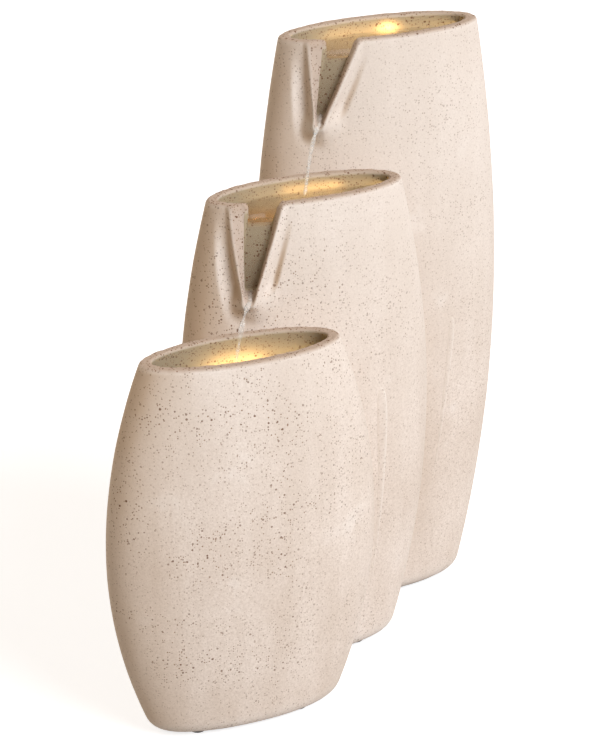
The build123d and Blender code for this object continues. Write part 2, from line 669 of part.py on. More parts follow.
def build():
    nodes = {
        "front_vessel": front_vessel(),
        "middle_vessel": middle_vessel(),
        "tall_vessel": tall_vessel(),
        "front_web": web(FRONT, MIDDLE, FRONT_WEB_TOP) - FRONT_HOLES,
        "rear_web": web(MIDDLE, TALL, REAR_WEB_TOP) - REAR_HOLES,
        "middle_base_plate": slab(MIDDLE, FOOT, TRAY),
        "tall_base_plate": slab(TALL, FOOT, TRAY),
        "middle_basin": basin(MIDDLE),
        "tall_basin": basin(TALL),
        "pump_body": pump_body(),
        "pump_rotor": pump_rotor(),
        "rotor_shaft": pump_rod(SHAFT, -WELL_DEEP - BUSH_DEEP, BUSH_DEEP),
        "rear_bush": pump_ring(BUSH, SHAFT, -WELL_DEEP - BUSH_DEEP, -WELL_DEEP + REAR_BUSH_PROUD),
        "pump_cover": pump_cover(),
        "front_bush": pump_ring(BUSH, SHAFT + RUN, -FRONT_BUSH_PROUD, BUSH_DEEP),
        "flow_dial": flow_dial(),
        "pump_cups": group(pump_cups()),
        "riser_hose": riser_hose(),
        "front_sleeve": sleeve(FRONT, MIDDLE, HOSE_X),
        "rear_sleeve": sleeve(MIDDLE, TALL, REAR_CROSSING),
    }
    for v in (FRONT, MIDDLE, TALL):
        nodes[v.name + "_feet"] = group(feet(v))
        for piece, solid in lamp_pieces(v).items():
            nodes[f"{v.name}_lamp_{piece}"] = solid
    for name, pair in (("front", (FRONT, MIDDLE, FRONT_TIES)), ("rear", (MIDDLE, TALL, REAR_TIES))):
        pieces = zip(("bolts", "seals", "washers", "nuts"), tie_set(*pair))
        for piece, solids in pieces:
            nodes[f"{name}_tie_{piece}"] = group(solids)
    for name, solid in zip(("fitting", "gasket", "nut"), outlet_pieces()):
        nodes["outlet_" + name] = solid
    nodes.update(gland_pieces())
    return nodes


os.makedirs("parts", exist_ok=True)
for node, shape in build().items():
    export_step(shape, f"parts/{node}.step")
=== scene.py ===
from math import acos, atan2, cos, pi, radians, sin, tan
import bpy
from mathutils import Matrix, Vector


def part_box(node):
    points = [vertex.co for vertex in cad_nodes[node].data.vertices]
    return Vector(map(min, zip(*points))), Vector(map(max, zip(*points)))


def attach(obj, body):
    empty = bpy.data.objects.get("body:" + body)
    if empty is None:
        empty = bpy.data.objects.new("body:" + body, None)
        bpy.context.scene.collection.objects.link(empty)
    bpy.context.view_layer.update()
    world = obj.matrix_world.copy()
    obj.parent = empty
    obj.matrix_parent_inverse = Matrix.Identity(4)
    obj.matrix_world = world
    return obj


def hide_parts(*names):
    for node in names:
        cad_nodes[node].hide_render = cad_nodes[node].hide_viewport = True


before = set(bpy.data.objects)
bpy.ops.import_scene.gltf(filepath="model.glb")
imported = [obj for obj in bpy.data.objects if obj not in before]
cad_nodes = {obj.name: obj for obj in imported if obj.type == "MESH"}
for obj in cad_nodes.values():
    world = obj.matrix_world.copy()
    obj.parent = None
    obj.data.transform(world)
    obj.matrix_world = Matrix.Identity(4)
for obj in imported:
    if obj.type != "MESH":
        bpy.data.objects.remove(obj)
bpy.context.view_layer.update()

from types import SimpleNamespace

import bpy
import numpy as np
from mathutils import Vector

# Front vessel: the lowest barrel, cast in one piece from sand and cement.
# Its floor is closed, since it holds the water, the pump and a lamp.
# The mould leaves one even bulge, and the rim is rubbed round by hand.
WALL = 0.0095
BASE_ROUND = 0.012
RIM_ROUND = 0.0024
FLOOR_THICK = 0.016
FLOOR_ROUND = 0.008
FRONT_MOUTH = 0.074
FRONT_BASE = 0.0715
FRONT_SEED = 1.0
COLUMNS = 220
WALL_ROWS = 84
INNER_ROWS = 20
INNER_CROWD = 1.6
ARC_STEPS = 5
FACE_ROWS = 4
CHUTE_ROWS = 14
EDGE_SHARE = 0.5
CHUTE_BEND = 2.5
DRY_RIM = 0.004
SOAKED_DEPTH = 0.045
FACE_CUT = 0.75
FACE_DEPTH = 0.008
DENSE_TOP = 0.55
RIPPLE_DEPTH = 0.0006
RIPPLE_SIZE = 0.045
CRUMBLE_DEPTH = 0.0018
CRUMBLE_SIZE = 0.005

SAND_LIGHT = (0.86, 0.76, 0.675, 1)
SAND_DARK = (0.72, 0.61, 0.515, 1)
SAND_SHADE = (0.56, 0.455, 0.37, 1)
SAND_CUT = (0.50, 0.385, 0.30, 1)
SAND_WET = (0.43, 0.35, 0.235, 1)
SAND_SOAKED = (0.27, 0.21, 0.135, 1)
# Colour of painted shade, with some real stain, on walls that face left.
LEFT_SHADE_AND_STAIN = (0.60, 0.46, 0.335, 1)
SPECK = (0.27, 0.16, 0.095, 1)
PIT = (0.17, 0.085, 0.045, 1)
# Pale colour of scuffs, also used for painted light on the upper walls and a painted highlight on
# edges.
SCUFF_AND_PAINTED_LIGHT = (0.87, 0.80, 0.73, 1)
SAND_SHEEN = 0.25
DRY_ROUGH = 0.88
WET_ROUGH = 0.45

# Marks in the mix. Waves are counted in a metre. A span is where a mark starts and where it is
# full, and then its share at either end.
CLOUD_WAVES = 13
CLOUD_SHARE = 0.55
STREAK_WAVES = (42, 42, 4)
STREAK_SHARE = 0.45
TONE_SPAN = (0.36, 0.62)
GRAIN_WAVES = 620
GRAIN_SPAN = (0.62, 0.36, 0.0, 0.5)
SCUFF_WAVES = 26
SCUFF_SPAN = (0.62, 0.74, 0.0, 0.4)
# Painted light: the walls grow paler towards the top between these heights.
PAINTED_LIGHT_HEIGHTS = (0.15, 0.36, 0.0, 0.5)
# Painted shade with some real stain: on walls that face left, away from the key light, in clouds,
# growing and fading with height.
LEFT_SHADE_FACING = (-0.2, -0.75)
LEFT_SHADE_CLOUDS = (0.3, 0.6, 0.6, 1.0)
LEFT_SHADE_GROWS = (0.18, 0.27, 0.75, 1.2)
LEFT_SHADE_FADES = (0.3, 0.46, 1.0, 0.6)
# Worn edges: paler on sharp convex edges, as rubbed wear and as a painted highlight.
WORN_HIGHLIGHT_BEND = (0.505, 0.56)
WORN_HIGHLIGHT_SHARE = 0.9
CLUSTER_WAVES = 21
CLUSTER_SPAN = (0.38, 0.62, 0.12, 1.0)
AIRY_ALONG = (-0.10, 0.08, 0.95, 0.3)
BARE_CUT = 1.3
BARE_WET = 0.9
GRIT = {"cell": 0.0016, "fewest": 0.2, "widest": 0.46, "soft": 0.18}
GRIT_SPAN = (0.0, 0.8, 0.3, 0.95)
HOLES = {"cell": 0.0034, "fewest": 0.18, "widest": 0.29, "soft": 0.06}
DEEP_HOLES = {"cell": 0.008, "fewest": 0.4, "widest": 0.13, "soft": 0.02}
WASHED_HOLES = {"cell": 0.0021, "fewest": 0.1, "widest": 0.44, "soft": 0.12}
WASHED_SHARE = 0.7
GRAIN_RISE = 0.35
GRIT_SINK = 0.3
SAND_RELIEF = (0.35, 0.0008)


def barrel_form(node, mouth, base):
    """Sizes of a barrel: its place and bulge from the solid, its end half lengths as given."""
    low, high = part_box(node)
    belly = (high.x - low.x) / 2
    return SimpleNamespace(
        x=(low.x + high.x) / 2,
        y=(low.y + high.y) / 2,
        foot=low.z,
        top=high.z,
        belly=belly,
        mouth=mouth,
        base=base,
        aspect=(high.y - low.y) / (high.x - low.x),
    )


def half_length(form, z):
    """Half length of a barrel at height z: two half parabolas that meet at the bulge."""
    middle = (form.top + form.foot) / 2
    rise = (z - middle) / (form.top - middle)
    end = np.where(rise > 0, form.mouth, form.base)
    return form.belly - (form.belly - end) * rise**2


def outer_ring(form, angle, z, inset=0.0):
    """Points of the outer wall at these angles and heights, moved inwards by inset."""
    length = half_length(form, z) - inset
    depth = form.aspect * half_length(form, z) - inset
    x = form.x + length * np.cos(angle)
    y = form.y + depth * np.sin(angle)
    return np.stack([x, y, z + 0 * x], axis=-1)


def inner_ring(form, angle, z, inset=0.0):
    """Points of the inner wall at these angles and heights, moved inwards by inset."""
    slim = (form.belly * form.aspect - WALL) / (form.belly - WALL)
    length = half_length(form, z) - WALL
    x = form.x + (length - inset) * np.cos(angle)
    y = form.y + (slim * length - inset) * np.sin(angle)
    return np.stack([x, y, z + 0 * x], axis=-1)


def plain_rim(form):
    """A level rim, as a function of the depth below its crest."""
    angles = np.linspace(0, 2 * pi, COLUMNS, endpoint=False)
    return lambda inset: (angles, np.full(COLUMNS, form.top - inset))


def wall_ring(form, angle, z, share):
    """Points in the wall itself: share 0 lies outside and 1 inside."""
    outer, inner = outer_ring(form, angle, z), inner_ring(form, angle, z)
    return outer + (inner - outer) * share


def chute_rings(form, middle_rim, inner_rim):
    """Rings from the middle edge of the rim to its inner one: along the wall, then through it."""
    first, last = np.array(middle_rim(0)), np.array(inner_rim(0))
    rings = []
    for share in np.linspace(0, 1, CHUTE_ROWS + 1):
        depth = EDGE_SHARE + (1 - RIM_ROUND / WALL - EDGE_SHARE) * share**CHUTE_BEND
        rings.append(wall_ring(form, *(first + (last - first) * share), depth))
    return rings


def outer_rows(form, rim, swell):
    """Rings from the underside, round the foot and up the outer wall."""
    rows = []
    angles, crest = rim(RIM_ROUND)
    for t in np.linspace(pi / 2, 0, ARC_STEPS + 2):
        z = np.full(len(angles), form.foot + BASE_ROUND * (1 - sin(t)))
        rows.append((outer_ring(form, angles, z, BASE_ROUND * (1 - cos(t))), 0, 0))
    shoulder = form.foot + BASE_ROUND
    for step in np.linspace(0, 1, WALL_ROWS + 1)[1:-1]:
        share = 1 - (1 - step) * (1 - DENSE_TOP * step)
        z = shoulder + (crest - shoulder) * share
        rows.append((outer_ring(form, angles, z) + swell(angles, z), 0, 0))
    return rows


def face_rows(form, outer_rim, middle_rim, swell):
    """Rings round the outer edge of the rim and across its rubbed face."""

    def outer_edge(below):
        angle, z = outer_rim(below)
        return outer_ring(form, angle, z) + swell(angle, z)

    def rubbed(ring):
        return 1 - (1 - FACE_CUT) * np.clip((form.top - ring[:, 2]) / FACE_DEPTH, 0, 1)

    crease = wall_ring(form, *middle_rim(0), EDGE_SHARE)
    inwards = crease - outer_edge(0)
    inwards /= np.linalg.norm(inwards, axis=-1, keepdims=True)
    rows = []
    for t in np.linspace(0, pi / 2, ARC_STEPS):
        ring = outer_edge(RIM_ROUND * (1 - sin(t))) + inwards * RIM_ROUND * (1 - cos(t))
        rows.append((ring, rubbed(ring) * sin(t), 0))
    start = rows[-1][0]
    for share in np.linspace(0, 1, FACE_ROWS + 1)[1:]:
        ring = start + (crease - start) * share
        rows.append((ring, rubbed(ring), 0))
    return rows


def inner_rows(form, middle_rim, inner_rim, floor):
    """Rings through the wall, round the inner edge of the rim and down inside."""
    rows = []
    for ring in chute_rings(form, middle_rim, inner_rim)[1:]:
        depth = form.top - ring[:, 2] - DRY_RIM
        damp = np.clip(depth / DRY_RIM, 0, 1)
        rows.append((ring, 1 - damp, damp + np.clip(depth / SOAKED_DEPTH, 0, 1)))
    for t in np.linspace(0, pi / 2, ARC_STEPS)[::-1][1:]:
        angle, z = inner_rim(RIM_ROUND * (1 - sin(t)))
        ring = wall_ring(form, angle, z, 1 - RIM_ROUND / WALL * (1 - cos(t)))
        damp = np.clip((form.top - ring[:, 2] - DRY_RIM) / DRY_RIM, 0, 1)
        rows.append((ring, sin(t) * (1 - damp), np.maximum(damp, 1 - sin(t))))
    angles, crest = inner_rim(RIM_ROUND)
    for step in np.linspace(0, 1, INNER_ROWS + 1)[1:]:
        z = crest + (floor - crest) * step**INNER_CROWD
        rows.append((inner_ring(form, angles, z), 0, 1))
    return rows


def barrel_rows(form, rims, swell, floor):
    """Rings of points from the underside up the outer wall, over the rim and down inside.

    Each ring comes with its share of rubbed edge and of wetted wall. rims are the outer,
    middle and inner edges of the rim, as functions of the depth below the crest."""
    outer_rim, middle_rim, inner_rim = rims
    rows = outer_rows(form, outer_rim, swell)
    rows += face_rows(form, outer_rim, middle_rim, swell)
    return rows + inner_rows(form, middle_rim, inner_rim, floor)


def rings_mesh(name, rows, capped):
    """Skin over the rings: joined top to tail, or closed with a point at each end."""
    count = len(rows[0][0])
    points = np.concatenate([ring for ring, cut, wet in rows])
    cut = np.concatenate([np.zeros(count) + cut for ring, cut, wet in rows])
    wet = np.concatenate([np.zeros(count) + wet for ring, cut, wet in rows])
    faces = []
    for i in range(len(rows) if not capped else len(rows) - 1):
        lower = i * count
        upper = (i + 1) % len(rows) * count
        for j in range(count):
            k = (j + 1) % count
            faces.append((lower + j, lower + k, upper + k, upper + j))
    if capped:
        last = (len(rows) - 1) * count
        ends = np.array([rows[0][0].mean(axis=0), rows[-1][0].mean(axis=0)])
        points = np.concatenate([points, ends])
        cut = np.append(cut, [0, 0])
        wet = np.append(wet, [wet[0], wet[-1]])
        first_hub, last_hub = len(points) - 2, len(points) - 1
        for j in range(count):
            k = (j + 1) % count
            faces.append((k, j, first_hub))
            faces.append((last + j, last + k, last_hub))
    mesh = bpy.data.meshes.new(name)
    mesh.from_pydata(points.tolist(), [], faces)
    for label, values in (("cut", cut), ("wet", wet)):
        mesh.attributes.new(label, "FLOAT", "POINT").data.foreach_set("value", values)
    mesh.polygons.foreach_set("use_smooth", [True] * len(mesh.polygons))
    mesh.update()
    return mesh


def placed(name, mesh, material=None):
    piece = bpy.data.objects.new(name, mesh)
    bpy.context.scene.collection.objects.link(piece)
    if material:
        mesh.materials.append(material)
    return piece


def finish_material(name, sockets=()):
    """A new material: its tree and its surface shader, with (socket, value) constants set."""
    material = bpy.data.materials.new(name)
    material.use_nodes = True
    tree = material.node_tree
    surface = tree.nodes["Principled BSDF"]
    for socket, value in sockets:
        surface.inputs[socket].default_value = value
    return material, tree, surface


def add(tree, kind, links=(), **settings):
    """A node of that kind. links are (input, value or output socket) pairs."""
    item = tree.nodes.new(kind)
    for key, value in settings.items():
        setattr(item, key, value)
    for socket, value in links:
        if isinstance(value, bpy.types.NodeSocket):
            tree.links.new(value, item.inputs[socket])
        else:
            item.inputs[socket].default_value = value
    return item


def maths(tree, operation, first, second=0.0, clamp=False):
    links = ((0, first), (1, second))
    item = add(tree, "ShaderNodeMath", links, operation=operation, use_clamp=clamp)
    return item.outputs[0]


def ranged(tree, value, low, high, start=0.0, end=1.0):
    links = ((0, value), (1, low), (2, high), (3, start), (4, end))
    return add(tree, "ShaderNodeMapRange", links).outputs[0]


def product(tree, value, *others):
    for other in others:
        value = maths(tree, "MULTIPLY", value, other)
    return value


def mixed(tree, share, first, second):
    links = ((0, share), (6, first), (7, second))
    return add(tree, "ShaderNodeMix", links, data_type="RGBA").outputs[2]


def on_object(tree):
    return add(tree, "ShaderNodeTexCoord").outputs["Object"]


def carried(tree, name):
    """Share that the points of the mesh carry under this name."""
    return add(tree, "ShaderNodeAttribute", attribute_name=name).outputs["Fac"]


def noise(tree, coords, scale, detail=2.0, rough=0.5):
    links = (("Vector", coords), ("Scale", scale), ("Detail", detail), ("Roughness", rough))
    return add(tree, "ShaderNodeTexNoise", links).outputs["Fac"]


def stretched(tree, coords, scale):
    return add(tree, "ShaderNodeMapping", (("Vector", coords), ("Scale", scale))).outputs[0]


def specks(tree, coords, cell, fewest, widest, soft):
    """Round marks, one at most in each cell, of random size; fewest is the share left bare."""
    grid = add(tree, "ShaderNodeTexVoronoi", (("Vector", coords), ("Scale", 1 / cell)))
    chance = add(tree, "ShaderNodeSeparateColor", ((0, grid.outputs["Color"]),)).outputs[0]
    radius = ranged(tree, chance, fewest, 1.0, 0.0, widest)
    gap = maths(tree, "SUBTRACT", radius, grid.outputs["Distance"])
    return maths(tree, "DIVIDE", gap, soft, clamp=True)


def raised(tree, surface, height, strength, depth):
    """Fine relief in the shading of a surface, of this strength and depth."""
    links = (("Height", height), ("Strength", strength), ("Distance", depth))
    bump = add(tree, "ShaderNodeBump", links)
    tree.links.new(bump.outputs[0], surface.inputs["Normal"])


def sand_tone(tree, coords, cloud, grain):
    """Colour of the dry mix: clouded, streaked by the mould, grainy and scuffed."""
    streak = noise(tree, stretched(tree, coords, STREAK_WAVES), 1.0, detail=4, rough=0.6)
    streak = product(tree, streak, STREAK_SHARE)
    slow = maths(tree, "ADD", product(tree, cloud, CLOUD_SHARE), streak)
    colour = mixed(tree, ranged(tree, slow, *TONE_SPAN), SAND_DARK, SAND_LIGHT)
    colour = mixed(tree, ranged(tree, grain, *GRAIN_SPAN), colour, SAND_SHADE)
    scuff = noise(tree, coords, SCUFF_WAVES, detail=3, rough=0.6)
    return mixed(tree, ranged(tree, scuff, *SCUFF_SPAN), colour, SCUFF_AND_PAINTED_LIGHT)


def weathered(tree, colour, cloud, height, facing, cut, wet):
    """Paler upwards as painted light, painted shade with some stain on the left, paler edges as
    wear and a painted highlight, dark where it is cut or wet.
    """
    # Painted light: paler towards the top.
    colour = mixed(tree, ranged(tree, height, *PAINTED_LIGHT_HEIGHTS), colour, SCUFF_AND_PAINTED_LIGHT)
    # Painted shade with some real stain on walls that face left, away from the key light.
    shade_and_stain = product(
        tree,
        ranged(tree, facing, *LEFT_SHADE_FACING),
        ranged(tree, cloud, *LEFT_SHADE_CLOUDS),
        ranged(tree, height, *LEFT_SHADE_FADES),
        ranged(tree, height, *LEFT_SHADE_GROWS),
    )
    colour = mixed(tree, shade_and_stain, colour, LEFT_SHADE_AND_STAIN)
    # Paler on sharp convex edges: rubbed wear and a painted highlight.
    bend = add(tree, "ShaderNodeNewGeometry").outputs["Pointiness"]
    whole = maths(tree, "SUBTRACT", WORN_HIGHLIGHT_SHARE, cut, clamp=True)
    worn_and_highlight = product(tree, ranged(tree, bend, *WORN_HIGHLIGHT_BEND), whole)
    colour = mixed(tree, worn_and_highlight, colour, SCUFF_AND_PAINTED_LIGHT)
    colour = mixed(tree, cut, colour, SAND_CUT)
    colour = mixed(tree, maths(tree, "MINIMUM", wet, 1.0), colour, SAND_WET)
    return mixed(tree, ranged(tree, wet, 1.0, 2.0), colour, SAND_SOAKED)


def grit_and_holes(tree, coords, along, cut, wet):
    """Shares of dark grit and of air holes: in clusters, and laid bare where it is cut or wet."""
    cluster = ranged(tree, noise(tree, coords, CLUSTER_WAVES, detail=3), *CLUSTER_SPAN)
    cluster = product(tree, cluster, ranged(tree, along, *AIRY_ALONG))
    bare = maths(tree, "MULTIPLY", cut, BARE_CUT, clamp=True)
    bare = maths(tree, "MAXIMUM", bare, product(tree, wet, BARE_WET))
    cluster = maths(tree, "MAXIMUM", cluster, bare)
    grit = product(tree, specks(tree, coords, **GRIT), ranged(tree, cluster, *GRIT_SPAN))
    small = product(tree, specks(tree, coords, **HOLES), cluster)
    deep = product(tree, specks(tree, coords, **DEEP_HOLES), cluster)
    washed = product(tree, specks(tree, coords, **WASHED_HOLES), bare, WASHED_SHARE)
    holes = maths(tree, "MAXIMUM", maths(tree, "MAXIMUM", small, deep), washed)
    return grit, holes


def sand_cast(name):
    """Pale sand and cement: grain, dark grit, air holes, mould streaks, rubbed and wet parts,
    with painted light and shade.
    """
    material, tree, surface = finish_material(name, (("Specular IOR Level", SAND_SHEEN),))
    source = add(tree, "ShaderNodeTexCoord").outputs
    coords = source["Object"]
    place = add(tree, "ShaderNodeSeparateXYZ", ((0, coords),)).outputs
    facing = add(tree, "ShaderNodeSeparateXYZ", ((0, source["Normal"]),)).outputs
    cut, wet = carried(tree, "cut"), carried(tree, "wet")
    cloud = noise(tree, coords, CLOUD_WAVES, detail=4, rough=0.55)
    grain = noise(tree, coords, GRAIN_WAVES, detail=3, rough=0.75)

    colour = sand_tone(tree, coords, cloud, grain)
    colour = weathered(tree, colour, cloud, place["Z"], facing["X"], cut, wet)
    grit, holes = grit_and_holes(tree, coords, place["X"], cut, wet)
    colour = mixed(tree, grit, colour, SPECK)
    colour = mixed(tree, holes, colour, PIT)
    tree.links.new(colour, surface.inputs["Base Color"])
    dull = ranged(tree, wet, 0.0, 1.0, DRY_ROUGH, WET_ROUGH)
    tree.links.new(dull, surface.inputs["Roughness"])
    height = maths(tree, "SUBTRACT", product(tree, grain, GRAIN_RISE), holes)
    height = maths(tree, "SUBTRACT", height, product(tree, grit, GRIT_SINK))
    raised(tree, surface, height, *SAND_RELIEF)
    return material


def geometry_tree(name, source, result, sizes):
    """A new Geometry Nodes tree with these inputs, and the sockets that give them inside it."""
    tree = bpy.data.node_groups.new(name, "GeometryNodeTree")
    face = tree.interface
    face.new_socket(source, in_out="INPUT", socket_type="NodeSocketGeometry")
    for label, value in sizes.items():
        kind = "NodeSocketInt" if isinstance(value, int) else "NodeSocketFloat"
        face.new_socket(label, in_out="INPUT", socket_type=kind).default_value = value
    face.new_socket(result, in_out="OUTPUT", socket_type="NodeSocketGeometry")
    return tree, tree.nodes.new("NodeGroupInput").outputs


def end_tree(tree, geometry, material):
    """Ends a tree: gives what it made its material and passes it out."""
    links = (("Geometry", geometry), ("Material", material))
    painted = add(tree, "GeometryNodeSetMaterial", links)
    sink = tree.nodes.new("NodeGroupOutput")
    tree.links.new(painted.outputs[0], sink.inputs[0])


def casting_tree(material):
    """Uneven skin of a hand-filled mould: slow ripples, and crumbs out of the rubbed edges."""
    sizes = {
        "Ripple depth": RIPPLE_DEPTH,
        "Ripple size": RIPPLE_SIZE,
        "Crumble depth": CRUMBLE_DEPTH,
        "Crumble size": CRUMBLE_SIZE,
        "Seed": 0.0,
    }
    tree, source = geometry_tree("cast_skin", "Casting", "Casting", sizes)

    def waves(size, depth):
        links = (("Scale", maths(tree, "DIVIDE", 1.0, size)), ("W", source["Seed"]))
        wave = add(tree, "ShaderNodeTexNoise", links, noise_dimensions="4D")
        return product(tree, maths(tree, "SUBTRACT", wave.outputs[0], 0.5), depth)

    cut = add(tree, "GeometryNodeInputNamedAttribute", ((0, "cut"),), data_type="FLOAT")
    crumbs = waves(source["Crumble size"], source["Crumble depth"])
    crumbs = product(tree, crumbs, cut.outputs[0])
    height = maths(tree, "ADD", waves(source["Ripple size"], source["Ripple depth"]), crumbs)
    along = add(tree, "GeometryNodeInputNormal").outputs[0]
    links = ((0, along), ("Scale", height))
    shift = add(tree, "ShaderNodeVectorMath", links, operation="SCALE")
    links = (("Geometry", source["Casting"]), ("Offset", shift.outputs[0]))
    skin = add(tree, "GeometryNodeSetPosition", links)
    whole = add(tree, "GeometryNodeRealizeInstances", ((0, skin.outputs[0]),))
    end_tree(tree, whole.outputs[0], material)
    return tree


def run_tree(piece, tree, **inputs):
    """Runs a node tree on the piece with these inputs and keeps the result as a plain mesh."""
    modifier = piece.modifiers.new(tree.name, "NODES")
    modifier.node_group = tree
    for item in tree.interface.items_tree:
        key = item.name.lower().replace(" ", "_")
        if item.in_out == "INPUT" and key in inputs:
            modifier[item.identifier] = inputs[key]
    state = bpy.context.evaluated_depsgraph_get()
    mesh = bpy.data.meshes.new_from_object(piece.evaluated_get(state))
    if piece.type == "MESH":
        piece.modifiers.remove(modifier)
        piece.data = mesh
        return piece
    name = piece.name
    bpy.data.objects.remove(piece)
    return placed(name, mesh)


def cast_vessel(name, node, rows, capped, seed):
    """Puts a finished casting in the place of its solid."""
    vessel = run_tree(placed(name, rings_mesh(name, rows, capped)), cast_skin, seed=seed)
    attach(vessel, "fountain")
    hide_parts(node)


def still(angle, z):
    """No push: the wall of a barrel without a spout."""
    return np.zeros(angle.shape + (3,))


sandstone = sand_cast("sandstone_cast")
cast_skin = casting_tree(sandstone)
front = barrel_form("front_vessel", FRONT_MOUTH, FRONT_BASE)
front_floor = front.foot + FLOOR_THICK
front_rims = [plain_rim(front)] * 3
front_rows = barrel_rows(front, front_rims, still, front_floor + FLOOR_ROUND)
turn = np.linspace(0, 2 * pi, COLUMNS, endpoint=False)
for t in np.linspace(0, pi / 2, ARC_STEPS)[1:]:
    level = np.full(COLUMNS, front_floor + FLOOR_ROUND * (1 - sin(t)))
    front_rows.append((inner_ring(front, turn, level, FLOOR_ROUND * (1 - cos(t))), 0, 1))
cast_vessel("front_casting", "front_vessel", front_rows, True, FRONT_SEED)

# Middle vessel: a taller barrel of the same mix, open from end to end.
# A V is pressed into its rim at the front left while the mix is soft, and its
# two lips are drawn out into a beak, so that the water leaves it in one thread.
MIDDLE_MOUTH = 0.075
MIDDLE_BASE = 0.0718
MIDDLE_SEED = 2.0
MIDDLE_DROP = 0.069
MIDDLE_WEIR = 0.014
# (left, right) at the top and at the foot of the outer edge, the crease and the inner edge of
# the V, as shares of the barrel's half length.
MIDDLE_SPOUT = (
    ((-0.84, -0.385), (-0.615, -0.56)),
    ((-0.756, -0.425), (-0.665, -0.575)),
    ((-0.745, -0.42), (-0.71, -0.48)),
)
AIM = np.array([-0.643, -0.766, 0.0])
LIP_TOP_ROUND = 0.006
LIP_FOOT_ROUND = 0.0022
CORNER_POINTS = 7
EDGE_POINTS = 20
SILL_POINTS = 3
FAR_RUN = 0.03
CROWDING = 0.78
LIP_AT_RIM = 0.002
LIP_AT_DRIP = 0.0085
LIP_BEND = 1.6
LEFT_LIP = 0.0085
RIGHT_FLAT = 0.001
RIGHT_LIP = 0.005
CHIN = 0.019
HOLLOW_SHARE = 0.75
HOLLOW_DEPTH = 0.0042
HOLLOW_AWAY = 0.0105
HOLLOW_WIDTH = 0.014
GROOVE_DEPTH = 0.003
GROOVE_AWAY = 0.0075
GROOVE_WIDTH = 0.0065
SIDE_BLEND = 0.008
SILL_RISE = 0.005


def around(share):
    """Angle on the front of a barrel at this share of its half length."""
    return 2 * pi - acos(share)


def rounded_corner(before, corner, after, radius):
    """Arc that rounds a corner of an edge. The material lies to the right of the edge."""
    into = (corner - before) / np.linalg.norm(corner - before)
    out = (after - corner) / np.linalg.norm(after - corner)
    bend = atan2(into[0] * out[1] - into[1] * out[0], into @ out)
    side = 1 if bend > 0 else -1
    start = corner - into * radius * tan(abs(bend) / 2)
    centre = start + side * radius * np.array([-into[1], into[0]])
    first = atan2(*(start - centre)[::-1])
    turns = first + bend * np.linspace(0, 1, CORNER_POINTS)
    spokes = np.stack([np.cos(turns), np.sin(turns)], axis=-1)
    return lambda inset: centre + (radius + side * inset) * spokes


def spout_edge(form, top, foot, drop):
    """Corners of a V edge, unrolled to metres along the wall and height."""
    middle = around(sum(foot) / 2)
    pace = form.belly * np.hypot(sin(middle), form.aspect * cos(middle))
    corners = [
        (around(top[0]) * pace - FAR_RUN, form.top),
        (around(top[0]) * pace, form.top),
        (around(foot[0]) * pace, form.top - drop),
        (around(foot[1]) * pace, form.top - drop),
        (around(top[1]) * pace, form.top),
        (around(top[1]) * pace + FAR_RUN, form.top),
    ]
    return SimpleNamespace(corners=np.array(corners), pace=pace, middle=middle, drop=drop)


def spout_rim(form, edge):
    """Rim that dips through the V, as a function of the depth below its crest."""
    points = edge.corners
    radii = (LIP_TOP_ROUND, LIP_FOOT_ROUND, LIP_FOOT_ROUND, LIP_TOP_ROUND)
    arcs = [rounded_corner(*points[i : i + 3], radii[i]) for i in range(4)]
    runs = (EDGE_POINTS, SILL_POINTS, EDGE_POINTS)
    spread = np.linspace(0, 1, COLUMNS - 4 * CORNER_POINTS - sum(runs) + 2)[1:-1]
    spread = spread - CROWDING * np.sin(2 * pi * spread) / (2 * pi)

    def rim(inset):
        path = [arcs[0](inset)]
        for arc, run in zip(arcs[1:], runs):
            begin, end = path[-1][-1], arc(inset)[0]
            steps = np.linspace(0, 1, run + 2)[1:-1, None]
            path += [begin + (end - begin) * steps, arc(inset)]
        path = np.concatenate(path)
        angles = path[:, 0] / edge.pace
        rest = angles[-1] + (angles[0] + 2 * pi - angles[-1]) * spread
        heights = np.append(path[:, 1], np.full(len(rest), form.top - inset))
        return np.append(angles, rest), heights

    return rim


def away(point, start, end):
    """Distance of each point from the straight run between start and end."""
    run = end - start
    share = np.clip(((point - start) @ run) / (run @ run), 0, 1)
    return np.linalg.norm(point - start - share[..., None] * run, axis=-1)


def fade(distance, width):
    """1 at no distance, falling smoothly to 0 at the width."""
    share = np.clip(distance / width, 0, 1)
    return 1 - share**2 * (3 - 2 * share)


def hump(distance, centre, width):
    return fade(np.abs(distance - centre), width)


def lip_swell(form, edge):
    """Push of the drawn lips: two ridges that meet in a beak, a thumbed hollow and a groove."""
    left_top, left_foot, right_foot, right_top = edge.corners[1:-1]

    def swell(angle, z):
        turn = (angle - edge.middle + pi) % (2 * pi) - pi + edge.middle
        point = np.stack([turn * edge.pace, z + 0 * turn], axis=-1)
        left = away(point, left_top, left_foot)
        right = away(point, right_top, right_foot)
        sill = away(point, left_foot, right_foot)
        deep = (form.top - point[..., 1]) / edge.drop
        draw = LIP_AT_RIM + (LIP_AT_DRIP - LIP_AT_RIM) * np.clip(deep, 0, 1) ** LIP_BEND
        lips = (fade(left, LEFT_LIP), fade(right - RIGHT_FLAT, RIGHT_LIP), fade(sill, CHIN))
        push = draw * sum(lip**3 for lip in lips).clip(0, 1) ** (1 / 3)
        beside = point[..., 0] - edge.middle * edge.pace
        leftwards = np.clip(0.5 - beside / SIDE_BLEND, 0, 1)
        lower = hump(deep, HOLLOW_SHARE, HOLLOW_SHARE)
        push -= HOLLOW_DEPTH * hump(left, HOLLOW_AWAY, HOLLOW_WIDTH) * lower * leftwards
        push -= GROOVE_DEPTH * hump(right, GROOVE_AWAY, GROOVE_WIDTH) * lower * (1 - leftwards)
        return push[..., None] * AIM

    return swell


